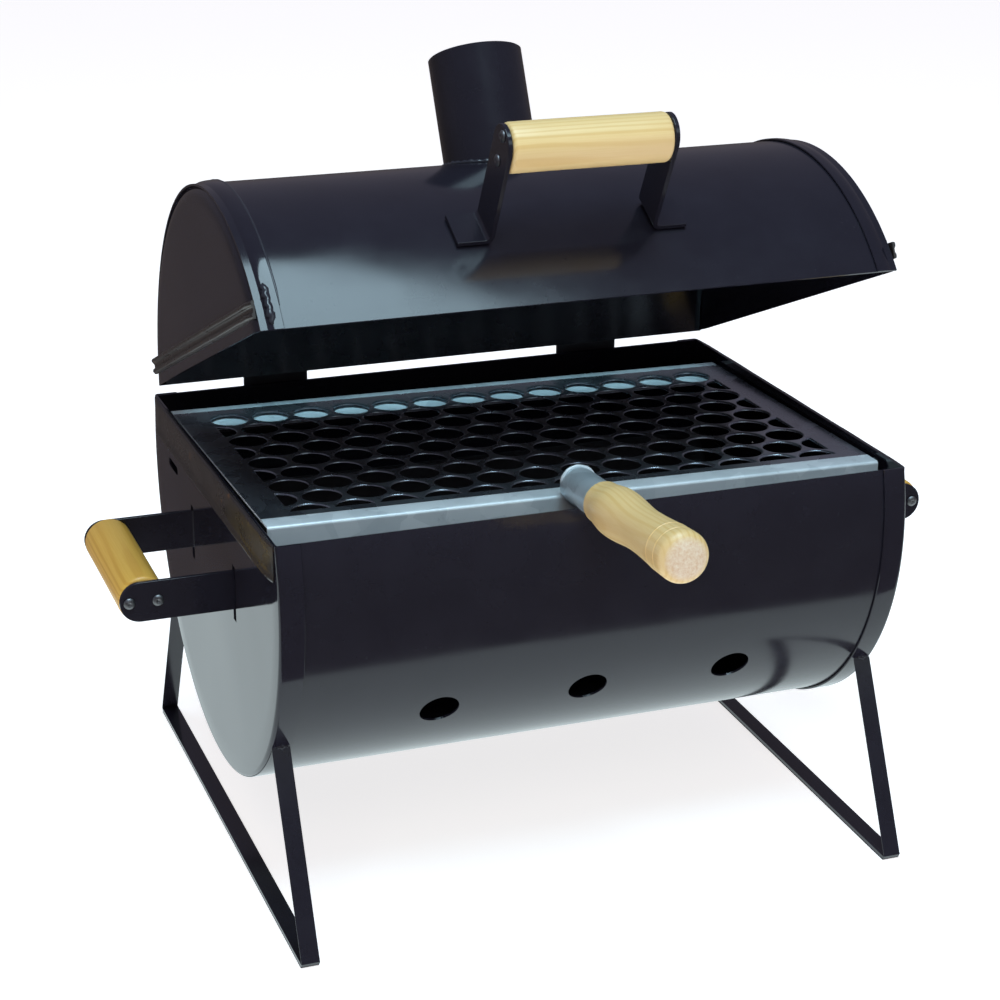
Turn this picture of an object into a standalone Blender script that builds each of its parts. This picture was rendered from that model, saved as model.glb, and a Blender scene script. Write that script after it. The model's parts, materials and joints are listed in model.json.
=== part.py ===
"""Small table-top barrel charcoal grill with a hinged lid, standing open.

Everything is modelled in millimetres around the barrel's own axis and scaled to metres when a
mesh is made.  +X runs along the barrel to the right, -Y is the front where the cook stands and
+Z is up.  The lid, its handle, the grate and the grate's handle hang on empties that carry
their turn, so each piece is drawn in its own simple position.
"""
import math

import bmesh
import bpy
from mathutils import Matrix, Vector

MM = 0.001
GAP = 0.3                       # clearance between touching pieces

# --- barrel ---------------------------------------------------------------------------------
BODY_LENGTH = 450.0             # over the outer faces of the end plates
BARREL_RADIUS = 178.5           # outside of the end plates' skirts
SHEET = 1.5                     # steel sheet of the shell, the lid and the end plates
AXIS_HEIGHT = 240.0             # barrel axis above the ground
RIM_HEIGHT = 284.5              # open rim of the lower half, over the barrel axis
RIM_TILT = 1.16                 # the rim rises towards the front
BARREL_Y = 57.0                 # barrel axis behind the middle of the object's footprint
SKIRT = 17.0                    # overlap of the end plates' skirts on the shell
SEGMENTS = 64                   # facets round the barrel
SHELL_RADIUS = BARREL_RADIUS - SHEET - GAP
HALF_LENGTH = BODY_LENGTH / 2
INNER_HALF = HALF_LENGTH - SHEET

# --- folded top edge of the lower end plates ---------------------------------------------------
HEM_HEIGHT = 25.0
HEM_GAP = 1.0
HEM_HALF_DEPTH = 170.0

# --- slit high on the rear of the left lower end plate ---------------------------------------------
SLIT_Y = 117.0
SLIT_Z = 242.5
SLIT_LENGTH = 28.0
SLIT_HEIGHT = 6.5

# --- air holes on the lower front --------------------------------------------------------------
AIR_HOLE_RADIUS = 14.0
AIR_HOLE_PITCH = 108.0
AIR_HOLE_ANGLE = 32.0           # below the horizontal, on the front side

# --- lid ---------------------------------------------------------------------------------------
LID_RIM_HEIGHT = 284.5          # rim of the lid when it lies level
LID_RISE = 121.5                # height of the lid above its own rim
LID_CENTRE_HEIGHT = LID_RIM_HEIGHT + LID_RISE - BARREL_RADIUS
LID_OPEN_ANGLE = 23.1           # the lid stands ajar at this angle
LID_BAND_HEIGHT = 10.0          # rolled band along the foot of the lid's end plates
LID_LIP_HEIGHT = 9.0            # plain lip below the band
LID_BAND_STAND_OUT = 3.4

# --- hinges --------------------------------------------------------------------------------------
HINGE_Y = 181.0
HINGE_Z = 297.0
HINGE_X = 129.0
HINGE_WIDTH = 50.0
HINGE_PLATE = 2.5
KNUCKLE_RADIUS = 4.5
KNUCKLE_COUNT = 5
KNUCKLE_GAP = 0.5
PIN_RADIUS = 2.5
PIN_CLEARANCE = 0.12
LOWER_LEAF_DROP = 72.0
UPPER_LEAF_ANGLE = 30.0         # where the upper leaf touches the lid, from the horizontal
UPPER_LEAF_HALF = 17.0

# --- flat bar and turned grips ------------------------------------------------------------------
BAR_WIDTH = 28.5
BAR_THICKNESS = 3.2
GRIP_RADIUS = 16.5
GRIP_END_ROUND = 2.5
SCREW_OFFSET = 9.8              # each screw from the grip's centre line
SCREW_RADIUS = 2.1
SCREW_HOLE_RADIUS = 2.4
SCREW_HEAD_RADIUS = 4.0
SCREW_HEAD_HEIGHT = 1.6
SCREW_BITE = 12.0               # depth of the screw in the wood
FOOT_LENGTH = 22.0

# --- carrying handles on the ends -----------------------------------------------------------------
SIDE_BAR_Y = 60.0
SIDE_GRIP_X = 287.7
SIDE_GRIP_Z = 214.5
SLOT_HALF_WIDTH = 2.3
SLOT_ABOVE = 3.0
SLOT_BELOW = 9.0

# --- lid handle -----------------------------------------------------------------------------------
LID_HANDLE_ANGLE = 140.7        # round the lid from the rear horizontal
LID_BRACKET_X = 57.6
LID_GRIP_HEIGHT = 67.0          # grip's centre line above the barrel radius

# --- chimney ----------------------------------------------------------------------------------------
CHIMNEY_RADIUS = 33.7
CHIMNEY_WALL = 1.5
CHIMNEY_TOP = 80.0              # rim above the top of the lid
CHIMNEY_LEAN = 4.0              # leans back from square
CHIMNEY_Y = -6.0                # foot, when the lid lies level

# --- legs -----------------------------------------------------------------------------------------
LEG_X = 217.0
LEG_WIDTH = 12.7
LEG_THICKNESS = 3.2
LEG_FOOT_Y = 207.7
LEG_TOP_Y = 143.0
LEG_TOP_Z = 133.0

# --- charcoal tray ----------------------------------------------------------------------------------
TRAY_HALF_LENGTH = 217.0
TRAY_WALL = 1.2
TRAY_BOTTOM_Z = 140.0
TRAY_TOP_Z = 212.0
TRAY_BOTTOM_HALF = 78.0
TRAY_TOP_HALF = 146.0
TRAY_HOLE_RADIUS = 7.0
TRAY_HOLE_COUNT = 7
TRAY_HOLE_PITCH = 56.0
TRAY_HOLE_ROW_Y = 38.0
BAR_ROUND_RADIUS = 4.0
TRAY_BAR_Y = 112.0

# --- cooking grate -----------------------------------------------------------------------------------
GRATE_LEFT_X = -222.0
GRATE_RIGHT_X = 220.0
GRATE_FRONT_Y = -142.4
GRATE_BACK_Y = 133.0
GRATE_SHEET = 1.5
GRATE_HEIGHT = 281.8            # top face, over the barrel axis
GRATE_PITCH = -2.0              # front edge up
GRATE_ROLL = 0.9                # left edge up
GRATE_FLANGE = 14.0
GRATE_FOLD_DEPTH = 5.0          # over the fold along the back edge
GRATE_FOLD_LENGTH = 43.0        # folded back under the sheet
HOLE_RADIUS = 13.5
HOLE_PITCH = 31.0
HOLE_ROWS = 9
HOLE_BACK_Y = 97.0
HOLE_SIDES = 12
HOLE_LIMIT_X = 199.5
HOLE_LIMIT_FRONT_Y = -116.0
GRATE_REST_FRONT_Y = -128.0
GRATE_REST_REAR_Y = 121.0

# --- grate handle --------------------------------------------------------------------------------------
GRATE_HANDLE_X = -8.0
GRATE_HANDLE_Y = -142.4
GRATE_HANDLE_Z = 293.7
GRATE_HANDLE_LIFT = 4.5         # handle rises towards the cook
FERRULE_RADIUS = 12.7
FERRULE_WALL = 1.5
NOTCH_CLEARANCE = 0.5           # between the ferrule and its notch in the front rim
FERRULE_START = 0.9
FERRULE_LENGTH = 44.0
ROD_RADIUS = 4.0
ROD_LENGTH = 120.0
GRATE_GRIP_LENGTH = 133.0
GRATE_GRIP_STATIONS = ((0.0, 14.6), (0.2, 17.2), (0.5, 14.8), (0.93, 17.0))

PAINT_COLOUR = (0.012, 0.012, 0.016)
GALVANISED_COLOUR = (0.46, 0.52, 0.55)
WOOD_COLOUR = (0.72, 0.47, 0.20)
SCREW_COLOUR = (0.30, 0.30, 0.31)


def clear_scene():
    for old in list(bpy.data.objects):
        bpy.data.objects.remove(old, do_unlink=True)


def make_material(name, colour, roughness, metallic):
    material = bpy.data.materials.new(name)
    material.use_nodes = True
    shader = material.node_tree.nodes["Principled BSDF"]
    shader.inputs["Base Color"].default_value = (*colour, 1.0)
    shader.inputs["Roughness"].default_value = roughness
    shader.inputs["Metallic"].default_value = metallic
    return material


def make_empty(name, location, rotation=(0.0, 0.0, 0.0), parent=None):
    empty = bpy.data.objects.new(name, None)
    bpy.context.scene.collection.objects.link(empty)
    empty.location = Vector(location) * MM
    empty.rotation_euler = [math.radians(angle) for angle in rotation]
    empty.parent = parent
    return empty


def make_object(name, mesh_data, parent, material=None):
    """Turn a bmesh drawn in millimetres into an object in metres."""
    mesh = bpy.data.meshes.new(name)
    mesh_data.transform(Matrix.Scale(MM, 4))
    bmesh.ops.recalc_face_normals(mesh_data, faces=mesh_data.faces)
    mesh_data.to_mesh(mesh)
    mesh_data.free()
    piece = bpy.data.objects.new(name, mesh)
    bpy.context.scene.collection.objects.link(piece)
    piece.parent = parent
    if material is not None:
        mesh.materials.append(material)
    mesh.shade_smooth()
    mesh.set_sharp_from_angle(angle=math.radians(35))
    return piece


def make_cutter(name, mesh_data, parent):
    cutter = make_object(name, mesh_data, parent)
    cutter.hide_render = True
    cutter.display_type = "WIRE"
    return cutter


def boolean(piece, other, operation):
    modifier = piece.modifiers.new(operation.lower(), "BOOLEAN")
    modifier.operation = operation
    modifier.object = other
    modifier.solver = "EXACT"


def prism(outline, axis, low, high, mesh_data=None):
    """Extrude a closed outline along one axis; its two numbers are the other two axes in order."""
    mesh_data = mesh_data or bmesh.new()

    def place(point, along):
        coords = list(point)
        coords.insert("xyz".index(axis), along)
        return mesh_data.verts.new(coords)

    near = [place(point, low) for point in outline]
    far = [place(point, high) for point in outline]
    mesh_data.faces.new(near)
    mesh_data.faces.new(list(reversed(far)))
    for index in range(len(outline)):
        after = (index + 1) % len(outline)
        mesh_data.faces.new((near[after], near[index], far[index], far[after]))
    return mesh_data


def box(low, high, mesh_data=None):
    outline = [(low[0], low[1]), (high[0], low[1]), (high[0], high[1]), (low[0], high[1])]
    return prism(outline, "z", low[2], high[2], mesh_data)


def turned(profile, segments, closed_profile=False):
    """Spin a profile of (along, radius) points round the X axis."""
    mesh_data = bmesh.new()
    rings = []
    for along, radius in profile:
        if radius == 0.0:
            rings.append([mesh_data.verts.new((along, 0.0, 0.0))])
            continue
        ring = []
        for step in range(segments):
            turn = 2 * math.pi * step / segments
            ring.append(mesh_data.verts.new((along, radius * math.cos(turn), radius * math.sin(turn))))
        rings.append(ring)
    pairs = list(zip(rings, rings[1:]))
    if closed_profile:
        pairs.append((rings[-1], rings[0]))
    for first, second in pairs:
        bridge_rings(mesh_data, first, second, segments)
    return mesh_data


def bridge_rings(mesh_data, first, second, segments):
    for step in range(segments):
        after = (step + 1) % segments
        if len(first) == 1:
            mesh_data.faces.new((first[0], second[step], second[after]))
        elif len(second) == 1:
            mesh_data.faces.new((first[step], first[after], second[0]))
        else:
            mesh_data.faces.new((first[step], first[after], second[after], second[step]))


def rod(start, end, radius, segments=16):
    return turned([(start, 0.0), (start, radius), (end, radius), (end, 0.0)], segments)


def moved(mesh_data, offset=(0, 0, 0), turn=None):
    if turn is not None:
        mesh_data.transform(Matrix.Rotation(math.radians(turn[1]), 4, turn[0]))
    mesh_data.transform(Matrix.Translation(Vector(offset)))
    return mesh_data


def arc_points(centre, radius, start, end, steps):
    points = []
    for step in range(steps + 1):
        turn = math.radians(start + (end - start) * step / steps)
        points.append((centre[0] + radius * math.cos(turn), centre[1] + radius * math.sin(turn)))
    return points


# --- barrel and lid sheet metal ------------------------------------------------------------------


def half_tube(name, centre_z, rim_z, keep_below, parent, material):
    """A rolled sheet: a tube cut off flat at its rim."""
    half = INNER_HALF - GAP
    inner = SHELL_RADIUS - SHEET
    profile = [(-half, inner), (-half, SHELL_RADIUS), (half, SHELL_RADIUS), (half, inner)]
    shell = make_object(name, moved(turned(profile, SEGMENTS, True), (0, 0, centre_z)), parent, material)
    boolean(shell, rim_cutter(name, rim_z, keep_below, parent), "DIFFERENCE")
    return shell


def rim_slope():
    """Tilts a level piece at the rim of the lower half to the rim's own slope."""
    tilt = Matrix.Rotation(math.radians(-RIM_TILT), 4, "X")
    return Matrix.Translation((0, 0, RIM_HEIGHT)) @ tilt @ Matrix.Translation((0, 0, -RIM_HEIGHT))


def rim_cutter(name, rim_z, keep_below, parent):
    reach = 2 * BARREL_RADIUS
    low, high = (rim_z, rim_z + reach) if keep_below else (rim_z - reach, rim_z)
    cutter = box((-reach, -reach, low), (reach, reach, high))
    if keep_below:
        cutter.transform(rim_slope())
    return make_cutter(name + "_rim_cut", cutter, parent)


def end_plate(name, side, centre_z, rim_z, keep_below, parent, material):
    """A round plate with a skirt turned over the shell, cut off flat at its rim."""
    inner = BARREL_RADIUS - SHEET
    profile = [
        (HALF_LENGTH, 0.0),
        (HALF_LENGTH, BARREL_RADIUS),
        (HALF_LENGTH - SKIRT, BARREL_RADIUS),
        (HALF_LENGTH - SKIRT, inner),
        (INNER_HALF, inner),
        (INNER_HALF, 0.0),
    ]
    profile = [(side * along, radius) for along, radius in profile]
    plate = make_object(name, moved(turned(profile, SEGMENTS), (0, 0, centre_z)), parent, material)
    boolean(plate, rim_cutter(name, rim_z, keep_below, parent), "DIFFERENCE")
    return plate


def body_hem(side):
    """Top edge of a lower end plate, folded outwards and down with a curled lower edge."""
    root = HALF_LENGTH - SHEET * 0.7
    inside = HALF_LENGTH + HEM_GAP
    outside = inside + SHEET
    top = RIM_HEIGHT
    bottom = RIM_HEIGHT - HEM_HEIGHT
    outline = [
        (root, top - 6.0),
        (root, top - 0.8),
        (root + 1.0, top),
        (outside - 0.8, top),
        (outside, top - 0.8),
        (outside, bottom + 4.0),
        (outside + 1.4, bottom + 0.8),
        (outside + 0.8, bottom),
        (inside - 0.3, bottom + 1.2),
        (inside, bottom + 4.0),
        (inside, top - 3.0),
        (HALF_LENGTH - 0.2, top - 3.0),
        (HALF_LENGTH - 0.2, top - 6.0),
    ]
    outline = [(side * x, z) for x, z in outline]
    hem = prism(outline, "y", -HEM_HALF_DEPTH, HEM_HALF_DEPTH)
    hem.transform(rim_slope())
    return hem


def lid_band(side):
    """Rolled band with two ridges on the outside of a lid end plate, above a plain lip."""
    root = HALF_LENGTH - SHEET * 0.6
    foot = LID_RIM_HEIGHT + LID_LIP_HEIGHT
    top = foot + LID_BAND_HEIGHT
    face = HALF_LENGTH + LID_BAND_STAND_OUT
    groove = HALF_LENGTH + 1.2
    outline = [
        (root, foot - 0.6),
        (HALF_LENGTH + 1.0, foot - 0.6),
        (face - 0.8, foot),
        (face, foot + 1.4),
        (face - 0.8, foot + 2.8),
        (groove, foot + 3.8),
        (groove, top - 3.8),
        (face - 0.8, top - 2.8),
        (face, top - 1.4),
        (face - 0.8, top),
        (HALF_LENGTH + 0.6, top),
        (root, top - 0.8),
    ]
    outline = [(side * x, z) for x, z in outline]
    return prism(outline, "y", -HEM_HALF_DEPTH + 6.0, HEM_HALF_DEPTH - 6.0)


def end_slit(side):
    """A narrow slit with round ends, lying level."""
    half = (SLIT_LENGTH - SLIT_HEIGHT) / 2
    outline = arc_points((SLIT_Y + half, SLIT_Z), SLIT_HEIGHT / 2, -90, 90, 4)
    outline += arc_points((SLIT_Y - half, SLIT_Z), SLIT_HEIGHT / 2, 90, 270, 4)
    low, high = sorted((side * (HALF_LENGTH - 6), side * (HALF_LENGTH + 6)))
    return prism(outline, "x", low, high)


def handle_notch():
    """Shallow round notch in the front rim, where the ferrule of the grate's handle lies."""
    notch = rod(5.0, 60.0, FERRULE_RADIUS + NOTCH_CLEARANCE, 32)
    notch.transform(Matrix.Rotation(math.radians(-GRATE_HANDLE_LIFT), 4, "Y"))
    notch.transform(Matrix.Rotation(math.radians(-90), 4, "Z"))
    notch.transform(Matrix.Translation((GRATE_HANDLE_X, GRATE_HANDLE_Y, GRATE_HANDLE_Z)))
    return notch


def make_body(parent, paint):
    shell = half_tube("body_shell", AXIS_HEIGHT, RIM_HEIGHT, True, parent, paint)
    boolean(shell, make_cutter("handle_notch", handle_notch(), parent), "DIFFERENCE")
    for number in (-1, 0, 1):
        hole = rod(0.0, 40.0, AIR_HOLE_RADIUS, 24)
        hole.transform(Matrix.Rotation(math.radians(-90), 4, "Z"))
        hole.transform(Matrix.Translation((0, -SHELL_RADIUS + 20.0, 0)) @ Matrix.Identity(4))
        hole.transform(Matrix.Rotation(math.radians(AIR_HOLE_ANGLE), 4, "X"))
        hole.transform(Matrix.Translation((number * AIR_HOLE_PITCH, 0, AXIS_HEIGHT)))
        cutter = make_cutter("air_hole_cut_%d" % (number + 2), hole, parent)
        boolean(shell, cutter, "DIFFERENCE")
    for side, word in ((-1, "left"), (1, "right")):
        plate = end_plate("body_end_" + word, side, AXIS_HEIGHT, RIM_HEIGHT, True, parent, paint)
        hem = make_cutter("body_hem_" + word, body_hem(side), parent)
        boolean(plate, hem, "UNION")
        for place in (-1, 1):
            low = (side * HALF_LENGTH - 6, place * SIDE_BAR_Y - SLOT_HALF_WIDTH,
                   SIDE_GRIP_Z - BAR_WIDTH / 2 - SLOT_BELOW)
            high = (side * HALF_LENGTH + 6, place * SIDE_BAR_Y + SLOT_HALF_WIDTH,
                    SIDE_GRIP_Z + BAR_WIDTH / 2 + SLOT_ABOVE)
            cutter = make_cutter("slot_cut_%s_%d" % (word, place), box(low, high), parent)
            boolean(plate, cutter, "DIFFERENCE")
        if side < 0:
            slit = make_cutter("slit_cut", end_slit(side), parent)
            boolean(plate, slit, "DIFFERENCE")


def make_lid(parent, paint):
    shell = half_tube("lid_shell", LID_CENTRE_HEIGHT, LID_RIM_HEIGHT, False, parent, paint)
    draught = rod(0.0, 60.0, CHIMNEY_RADIUS - CHIMNEY_WALL - 2.0, 32)
    draught.transform(Matrix.Rotation(math.radians(-90), 4, "Y"))
    draught.transform(Matrix.Translation((0, 0, SHELL_RADIUS - 30.0)))
    draught.transform(chimney_placement())
    boolean(shell, make_cutter("draught_cut", draught, parent), "DIFFERENCE")
    for side, word in ((-1, "left"), (1, "right")):
        plate = end_plate("lid_end_" + word, side, LID_CENTRE_HEIGHT, LID_RIM_HEIGHT, False, parent, paint)
        band = make_cutter("lid_band_" + word, lid_band(side), parent)
        boolean(plate, band, "UNION")


def chimney_placement():
    """From a pipe standing on the lid's axis to the pipe's own lean and foot."""
    foot_angle = math.asin(CHIMNEY_Y / SHELL_RADIUS)
    to_foot = Vector((0, CHIMNEY_Y, SHELL_RADIUS * math.cos(foot_angle)))
    lean = Matrix.Rotation(math.radians(-CHIMNEY_LEAN), 4, "X")
    to_centre = Matrix.Translation((0, 0, -SHELL_RADIUS))
    return Matrix.Translation((0, 0, LID_CENTRE_HEIGHT)) @ Matrix.Translation(to_foot) @ lean @ to_centre


def make_chimney(parent, paint):
    bore = CHIMNEY_RADIUS - CHIMNEY_WALL
    start = SHELL_RADIUS - 25.0
    top = SHELL_RADIUS + CHIMNEY_TOP
    profile = [(start, bore), (start, CHIMNEY_RADIUS), (top, CHIMNEY_RADIUS), (top, bore)]
    pipe = turned(profile, 40, True)
    pipe.transform(Matrix.Rotation(math.radians(-90), 4, "Y"))
    pipe.transform(chimney_placement())
    chimney = make_object("chimney_pipe", pipe, parent, paint)
    saddle = rod(-80.0, 80.0, SHELL_RADIUS + GAP + 0.2, 128)
    cutter = make_cutter("saddle_cut", moved(saddle, (0, 0, LID_CENTRE_HEIGHT)), parent)
    boolean(chimney, cutter, "DIFFERENCE")


# --- hinges ----------------------------------------------------------------------------------------


def knuckle_spans(own):
    """X spans of every second knuckle of a hinge, from its left edge."""
    pitch = HINGE_WIDTH / KNUCKLE_COUNT
    spans = []
    for number in range(KNUCKLE_COUNT):
        if (number % 2 == 0) == own:
            low = -HINGE_WIDTH / 2 + number * pitch
            spans.append((low + KNUCKLE_GAP / 2, low + pitch - KNUCKLE_GAP / 2))
    return spans


def make_leaf(name, outline, own, centre_x, parent, material):
    """A leaf: a flat plate with its knuckles, bored for the pin and notched for the other leaf."""
    left = centre_x - HINGE_WIDTH / 2
    right = centre_x + HINGE_WIDTH / 2
    leaf = make_object(name, prism(outline, "x", left, right), parent, material)
    for number, (low, high) in enumerate(knuckle_spans(not own)):
        notch = rod(centre_x + low - KNUCKLE_GAP, centre_x + high + KNUCKLE_GAP, KNUCKLE_RADIUS + 0.7, 16)
        cutter = make_cutter("%s_notch_%d" % (name, number), moved(notch, (0, HINGE_Y, HINGE_Z)), parent)
        boolean(leaf, cutter, "DIFFERENCE")
    for number, (low, high) in enumerate(knuckle_spans(own)):
        barrel = rod(centre_x + low, centre_x + high, KNUCKLE_RADIUS, 16)
        joiner = make_cutter("%s_knuckle_%d" % (name, number), moved(barrel, (0, HINGE_Y, HINGE_Z)), parent)
        boolean(leaf, joiner, "UNION")
    bore = rod(left - 5, right + 5, PIN_RADIUS + PIN_CLEARANCE, 12)
    cutter = make_cutter(name + "_bore", moved(bore, (0, HINGE_Y, HINGE_Z)), parent)
    boolean(leaf, cutter, "DIFFERENCE")
    return leaf


def lower_leaf_outline():
    face = BARREL_RADIUS - SHEET
    back = face + HINGE_PLATE
    top = HINGE_Z + 1.0
    bottom = HINGE_Z - LOWER_LEAF_DROP
    return [(face, bottom), (back, bottom), (back, top), (face, top)]


def upper_leaf_outline():
    """Rises from the knuckle, cranks forward and lies flat on the back of the lid."""
    turn = math.radians(UPPER_LEAF_ANGLE)
    outward = Vector((math.cos(turn), math.sin(turn)))
    upward = Vector((-math.sin(turn), math.cos(turn)))
    centre = Vector((0.0, LID_CENTRE_HEIGHT))
    inner_mid = centre + outward * (SHELL_RADIUS + GAP)
    outer_mid = inner_mid + outward * HINGE_PLATE
    low_inner = inner_mid - upward * UPPER_LEAF_HALF
    high_inner = inner_mid + upward * UPPER_LEAF_HALF
    high_outer = outer_mid + upward * UPPER_LEAF_HALF
    bend_outer = outer_mid - upward * (UPPER_LEAF_HALF - HINGE_PLATE)
    return [
        tuple(low_inner),
        (HINGE_Y, HINGE_Z + 1.4),
        (HINGE_Y, HINGE_Z + 4.0),
        tuple(bend_outer),
        tuple(high_outer),
        tuple(high_inner),
    ]


def make_hinges(body, lid, paint, steel):
    for side, word in ((-1, "left"), (1, "right")):
        centre = side * HINGE_X
        make_leaf("hinge_leaf_lower_" + word, lower_leaf_outline(), True, centre, body, paint)
        make_leaf("hinge_leaf_upper_" + word, upper_leaf_outline(), False, centre, lid, paint)
        half = HINGE_WIDTH / 2 + 0.8
        pin = rod(centre - half, centre + half, PIN_RADIUS, 12)
        make_object("hinge_pin_" + word, moved(pin, (0, HINGE_Y, HINGE_Z)), body, steel)


# --- flat-bar handles with turned grips ----------------------------------------------------------------


def flat_bar_outline(reach, tip_radius):
    """Side view of a flat bar: a straight bar with one round end, from -reach to the tip."""
    half = BAR_WIDTH / 2
    centre = tip_radius - half
    points = [(-reach, half), (-reach, -half)]
    points += arc_points((centre, 0.0), half, -90, 90, 10)
    return points


def grip_mesh(half_length):
    """A turned dowel along X with rounded ends."""
    profile = [(-half_length, 0.0)]
    for start, end, sign in ((180, 90, -1), (90, 0, 1)):
        for along, radius in arc_points((0.0, 0.0), GRIP_END_ROUND, start, end, 2):
            centre = sign * (half_length - GRIP_END_ROUND)
            profile.append((centre + along, GRIP_RADIUS - GRIP_END_ROUND + radius))
    profile.append((half_length, 0.0))
    return turned(profile, 22)


def screw_mesh():
    """A round-headed screw along X: the head's flat underside at zero, the shank towards -X."""
    shank = GAP + BAR_THICKNESS + SCREW_BITE
    profile = [
        (-shank, 0.0),
        (-shank, SCREW_RADIUS),
        (0.0, SCREW_RADIUS),
        (0.0, SCREW_HEAD_RADIUS),
        (SCREW_HEAD_HEIGHT * 0.6, SCREW_HEAD_RADIUS * 0.82),
        (SCREW_HEAD_HEIGHT, SCREW_HEAD_RADIUS * 0.4),
        (SCREW_HEAD_HEIGHT, 0.0),
    ]
    return turned(profile, 10)


def make_handle(names, half_span, reach, frame, bar_material, wood, steel):
    """A grip between two flat bars, drawn with the grip along X and the bars running down -Z.

    The frame's origin is the middle of the grip; the feet turn outwards or inwards at -reach.
    """
    tip = BAR_WIDTH / 2 + 2.0
    inner_face = half_span - BAR_THICKNESS / 2
    grip = make_object(names["grip"], grip_mesh(inner_face - GAP), frame, wood)
    for side, bar_name in zip((-1, 1), names["bars"]):
        outline = flat_bar_outline(reach, tip)
        outline = [(across, along) for along, across in outline]
        centre = side * half_span
        bar_mesh = prism(outline, "x", centre - BAR_THICKNESS / 2, centre + BAR_THICKNESS / 2)
        bar = make_object(bar_name, bar_mesh, frame, bar_material)
        foot_root = centre - side * names["foot_side"] * BAR_THICKNESS / 2
        foot_tip = foot_root + side * names["foot_side"] * (FOOT_LENGTH + BAR_THICKNESS)
        low_x, high_x = sorted((foot_root, foot_tip))
        foot_mesh = box((low_x, -BAR_WIDTH / 2, -reach), (high_x, BAR_WIDTH / 2, -reach + BAR_THICKNESS))
        foot = make_cutter(bar_name + "_foot", foot_mesh, frame)
        boolean(bar, foot, "UNION")
        for place, word in ((1, names["screw_words"][0]), (-1, names["screw_words"][1])):
            at = (0, 0, place * SCREW_OFFSET)
            hole_start = inner_face - GAP - SCREW_BITE - 1.0
            hole = moved(rod(hole_start, half_span + 6.0, SCREW_HOLE_RADIUS, 12), at)
            screw = moved(screw_mesh(), (half_span + BAR_THICKNESS / 2 + GAP, 0, place * SCREW_OFFSET))
            if side < 0:
                hole.transform(Matrix.Rotation(math.pi, 4, "Z"))
                screw.transform(Matrix.Rotation(math.pi, 4, "Z"))
            cutter = make_cutter("%s_hole_%s" % (bar_name, word), hole, frame)
            boolean(bar, cutter, "DIFFERENCE")
            boolean(grip, cutter, "DIFFERENCE")
            screw_name = names["screw"] % (names["ends"][0 if side < 0 else 1], word)
            make_object(screw_name, screw, frame, steel)


def make_side_handles(body, paint, wood, steel):
    """Carrying handles: the bars pass through slots and turn inwards behind the end plates."""
    reach = SIDE_GRIP_X - (INNER_HALF - GAP - BAR_THICKNESS)
    for side, word in ((-1, "left"), (1, "right")):
        frame = make_empty("side_handle_frame_" + word, (side * SIDE_GRIP_X, 0, SIDE_GRIP_Z),
                           (0, 90 * side, 0), body)
        frame.rotation_mode = "QUATERNION"
        outward = Vector((side, 0, 0))
        along = Vector((0, 1, 0))
        across = outward.cross(along)
        turn = Matrix((along, across, outward)).transposed()
        frame.rotation_quaternion = turn.to_quaternion()
        names = {
            "grip": "side_grip_" + word,
            "bars": ["side_bar_%s_front" % word, "side_bar_%s_rear" % word],
            "screw": "side_screw_" + word + "_%s_%s",
            "ends": ["front", "rear"],
            "screw_words": ["outer", "inner"],
            "foot_side": -1,
        }
        make_handle(names, SIDE_BAR_Y, reach, frame, paint, wood, steel)


def make_lid_handle(lid, paint, wood, steel):
    """Lid handle: the bars stand square on the lid and their feet turn outwards."""
    turn = math.radians(LID_HANDLE_ANGLE)
    height = BARREL_RADIUS + LID_GRIP_HEIGHT
    centre = (0, height * math.cos(turn), LID_CENTRE_HEIGHT + height * math.sin(turn))
    frame = make_empty("lid_handle_frame", centre, (LID_HANDLE_ANGLE - 90, 0, 0), lid)
    names = {
        "grip": "lid_grip",
        "bars": ["lid_bracket_left", "lid_bracket_right"],
        "screw": "lid_screw_%s_%s",
        "ends": ["left", "right"],
        "screw_words": ["upper", "lower"],
        "foot_side": 1,
    }
    reach = height - SHELL_RADIUS - GAP
    make_handle(names, LID_BRACKET_X, reach, frame, paint, wood, steel)


# --- legs ---------------------------------------------------------------------------------------------


def circle_crossing(point, direction, radius):
    """Where a line in the YZ plane meets a circle round the barrel axis, on the way up."""
    offset = Vector((point[0], point[1] - AXIS_HEIGHT))
    heading = Vector(direction).normalized()
    half_b = offset.dot(heading)
    root = math.sqrt(half_b ** 2 - offset.length_squared + radius ** 2)
    return Vector(point) + heading * (-half_b - root)


def leg_outline():
    """Side view of a bent strip: floor bar with a sloping leg at each end, cut to the barrel."""
    climb = Vector((LEG_FOOT_Y - LEG_TOP_Y, LEG_TOP_Z)).normalized()
    lean = math.atan2(climb.x, climb.y)
    inset = LEG_THICKNESS * math.tan((math.pi / 2 - lean) / 2)
    outer_foot = (-LEG_FOOT_Y, 0.0)
    inner_foot = (-LEG_FOOT_Y + inset, LEG_THICKNESS)
    stand_off = BARREL_RADIUS + GAP
    outer_top = circle_crossing(outer_foot, climb, stand_off)
    inner_top = circle_crossing(inner_foot, climb, stand_off)
    soften = 4.0
    outer_bend = [(-LEG_FOOT_Y + soften, 0.0), tuple(Vector(outer_foot) + climb * soften)]
    front = [inner_foot, tuple(inner_top), tuple(outer_top), outer_bend[1], outer_bend[0]]
    rear = [(-y, z) for y, z in reversed(front)]
    return front + rear


def make_legs(body, paint):
    for side, word in ((-1, "left"), (1, "right")):
        low = side * LEG_X - LEG_WIDTH / 2
        make_object("leg_frame_" + word, prism(leg_outline(), "x", low, low + LEG_WIDTH), body, paint)


# --- inside: charcoal tray and the bars that carry it and the grate -------------------------------------


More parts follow.
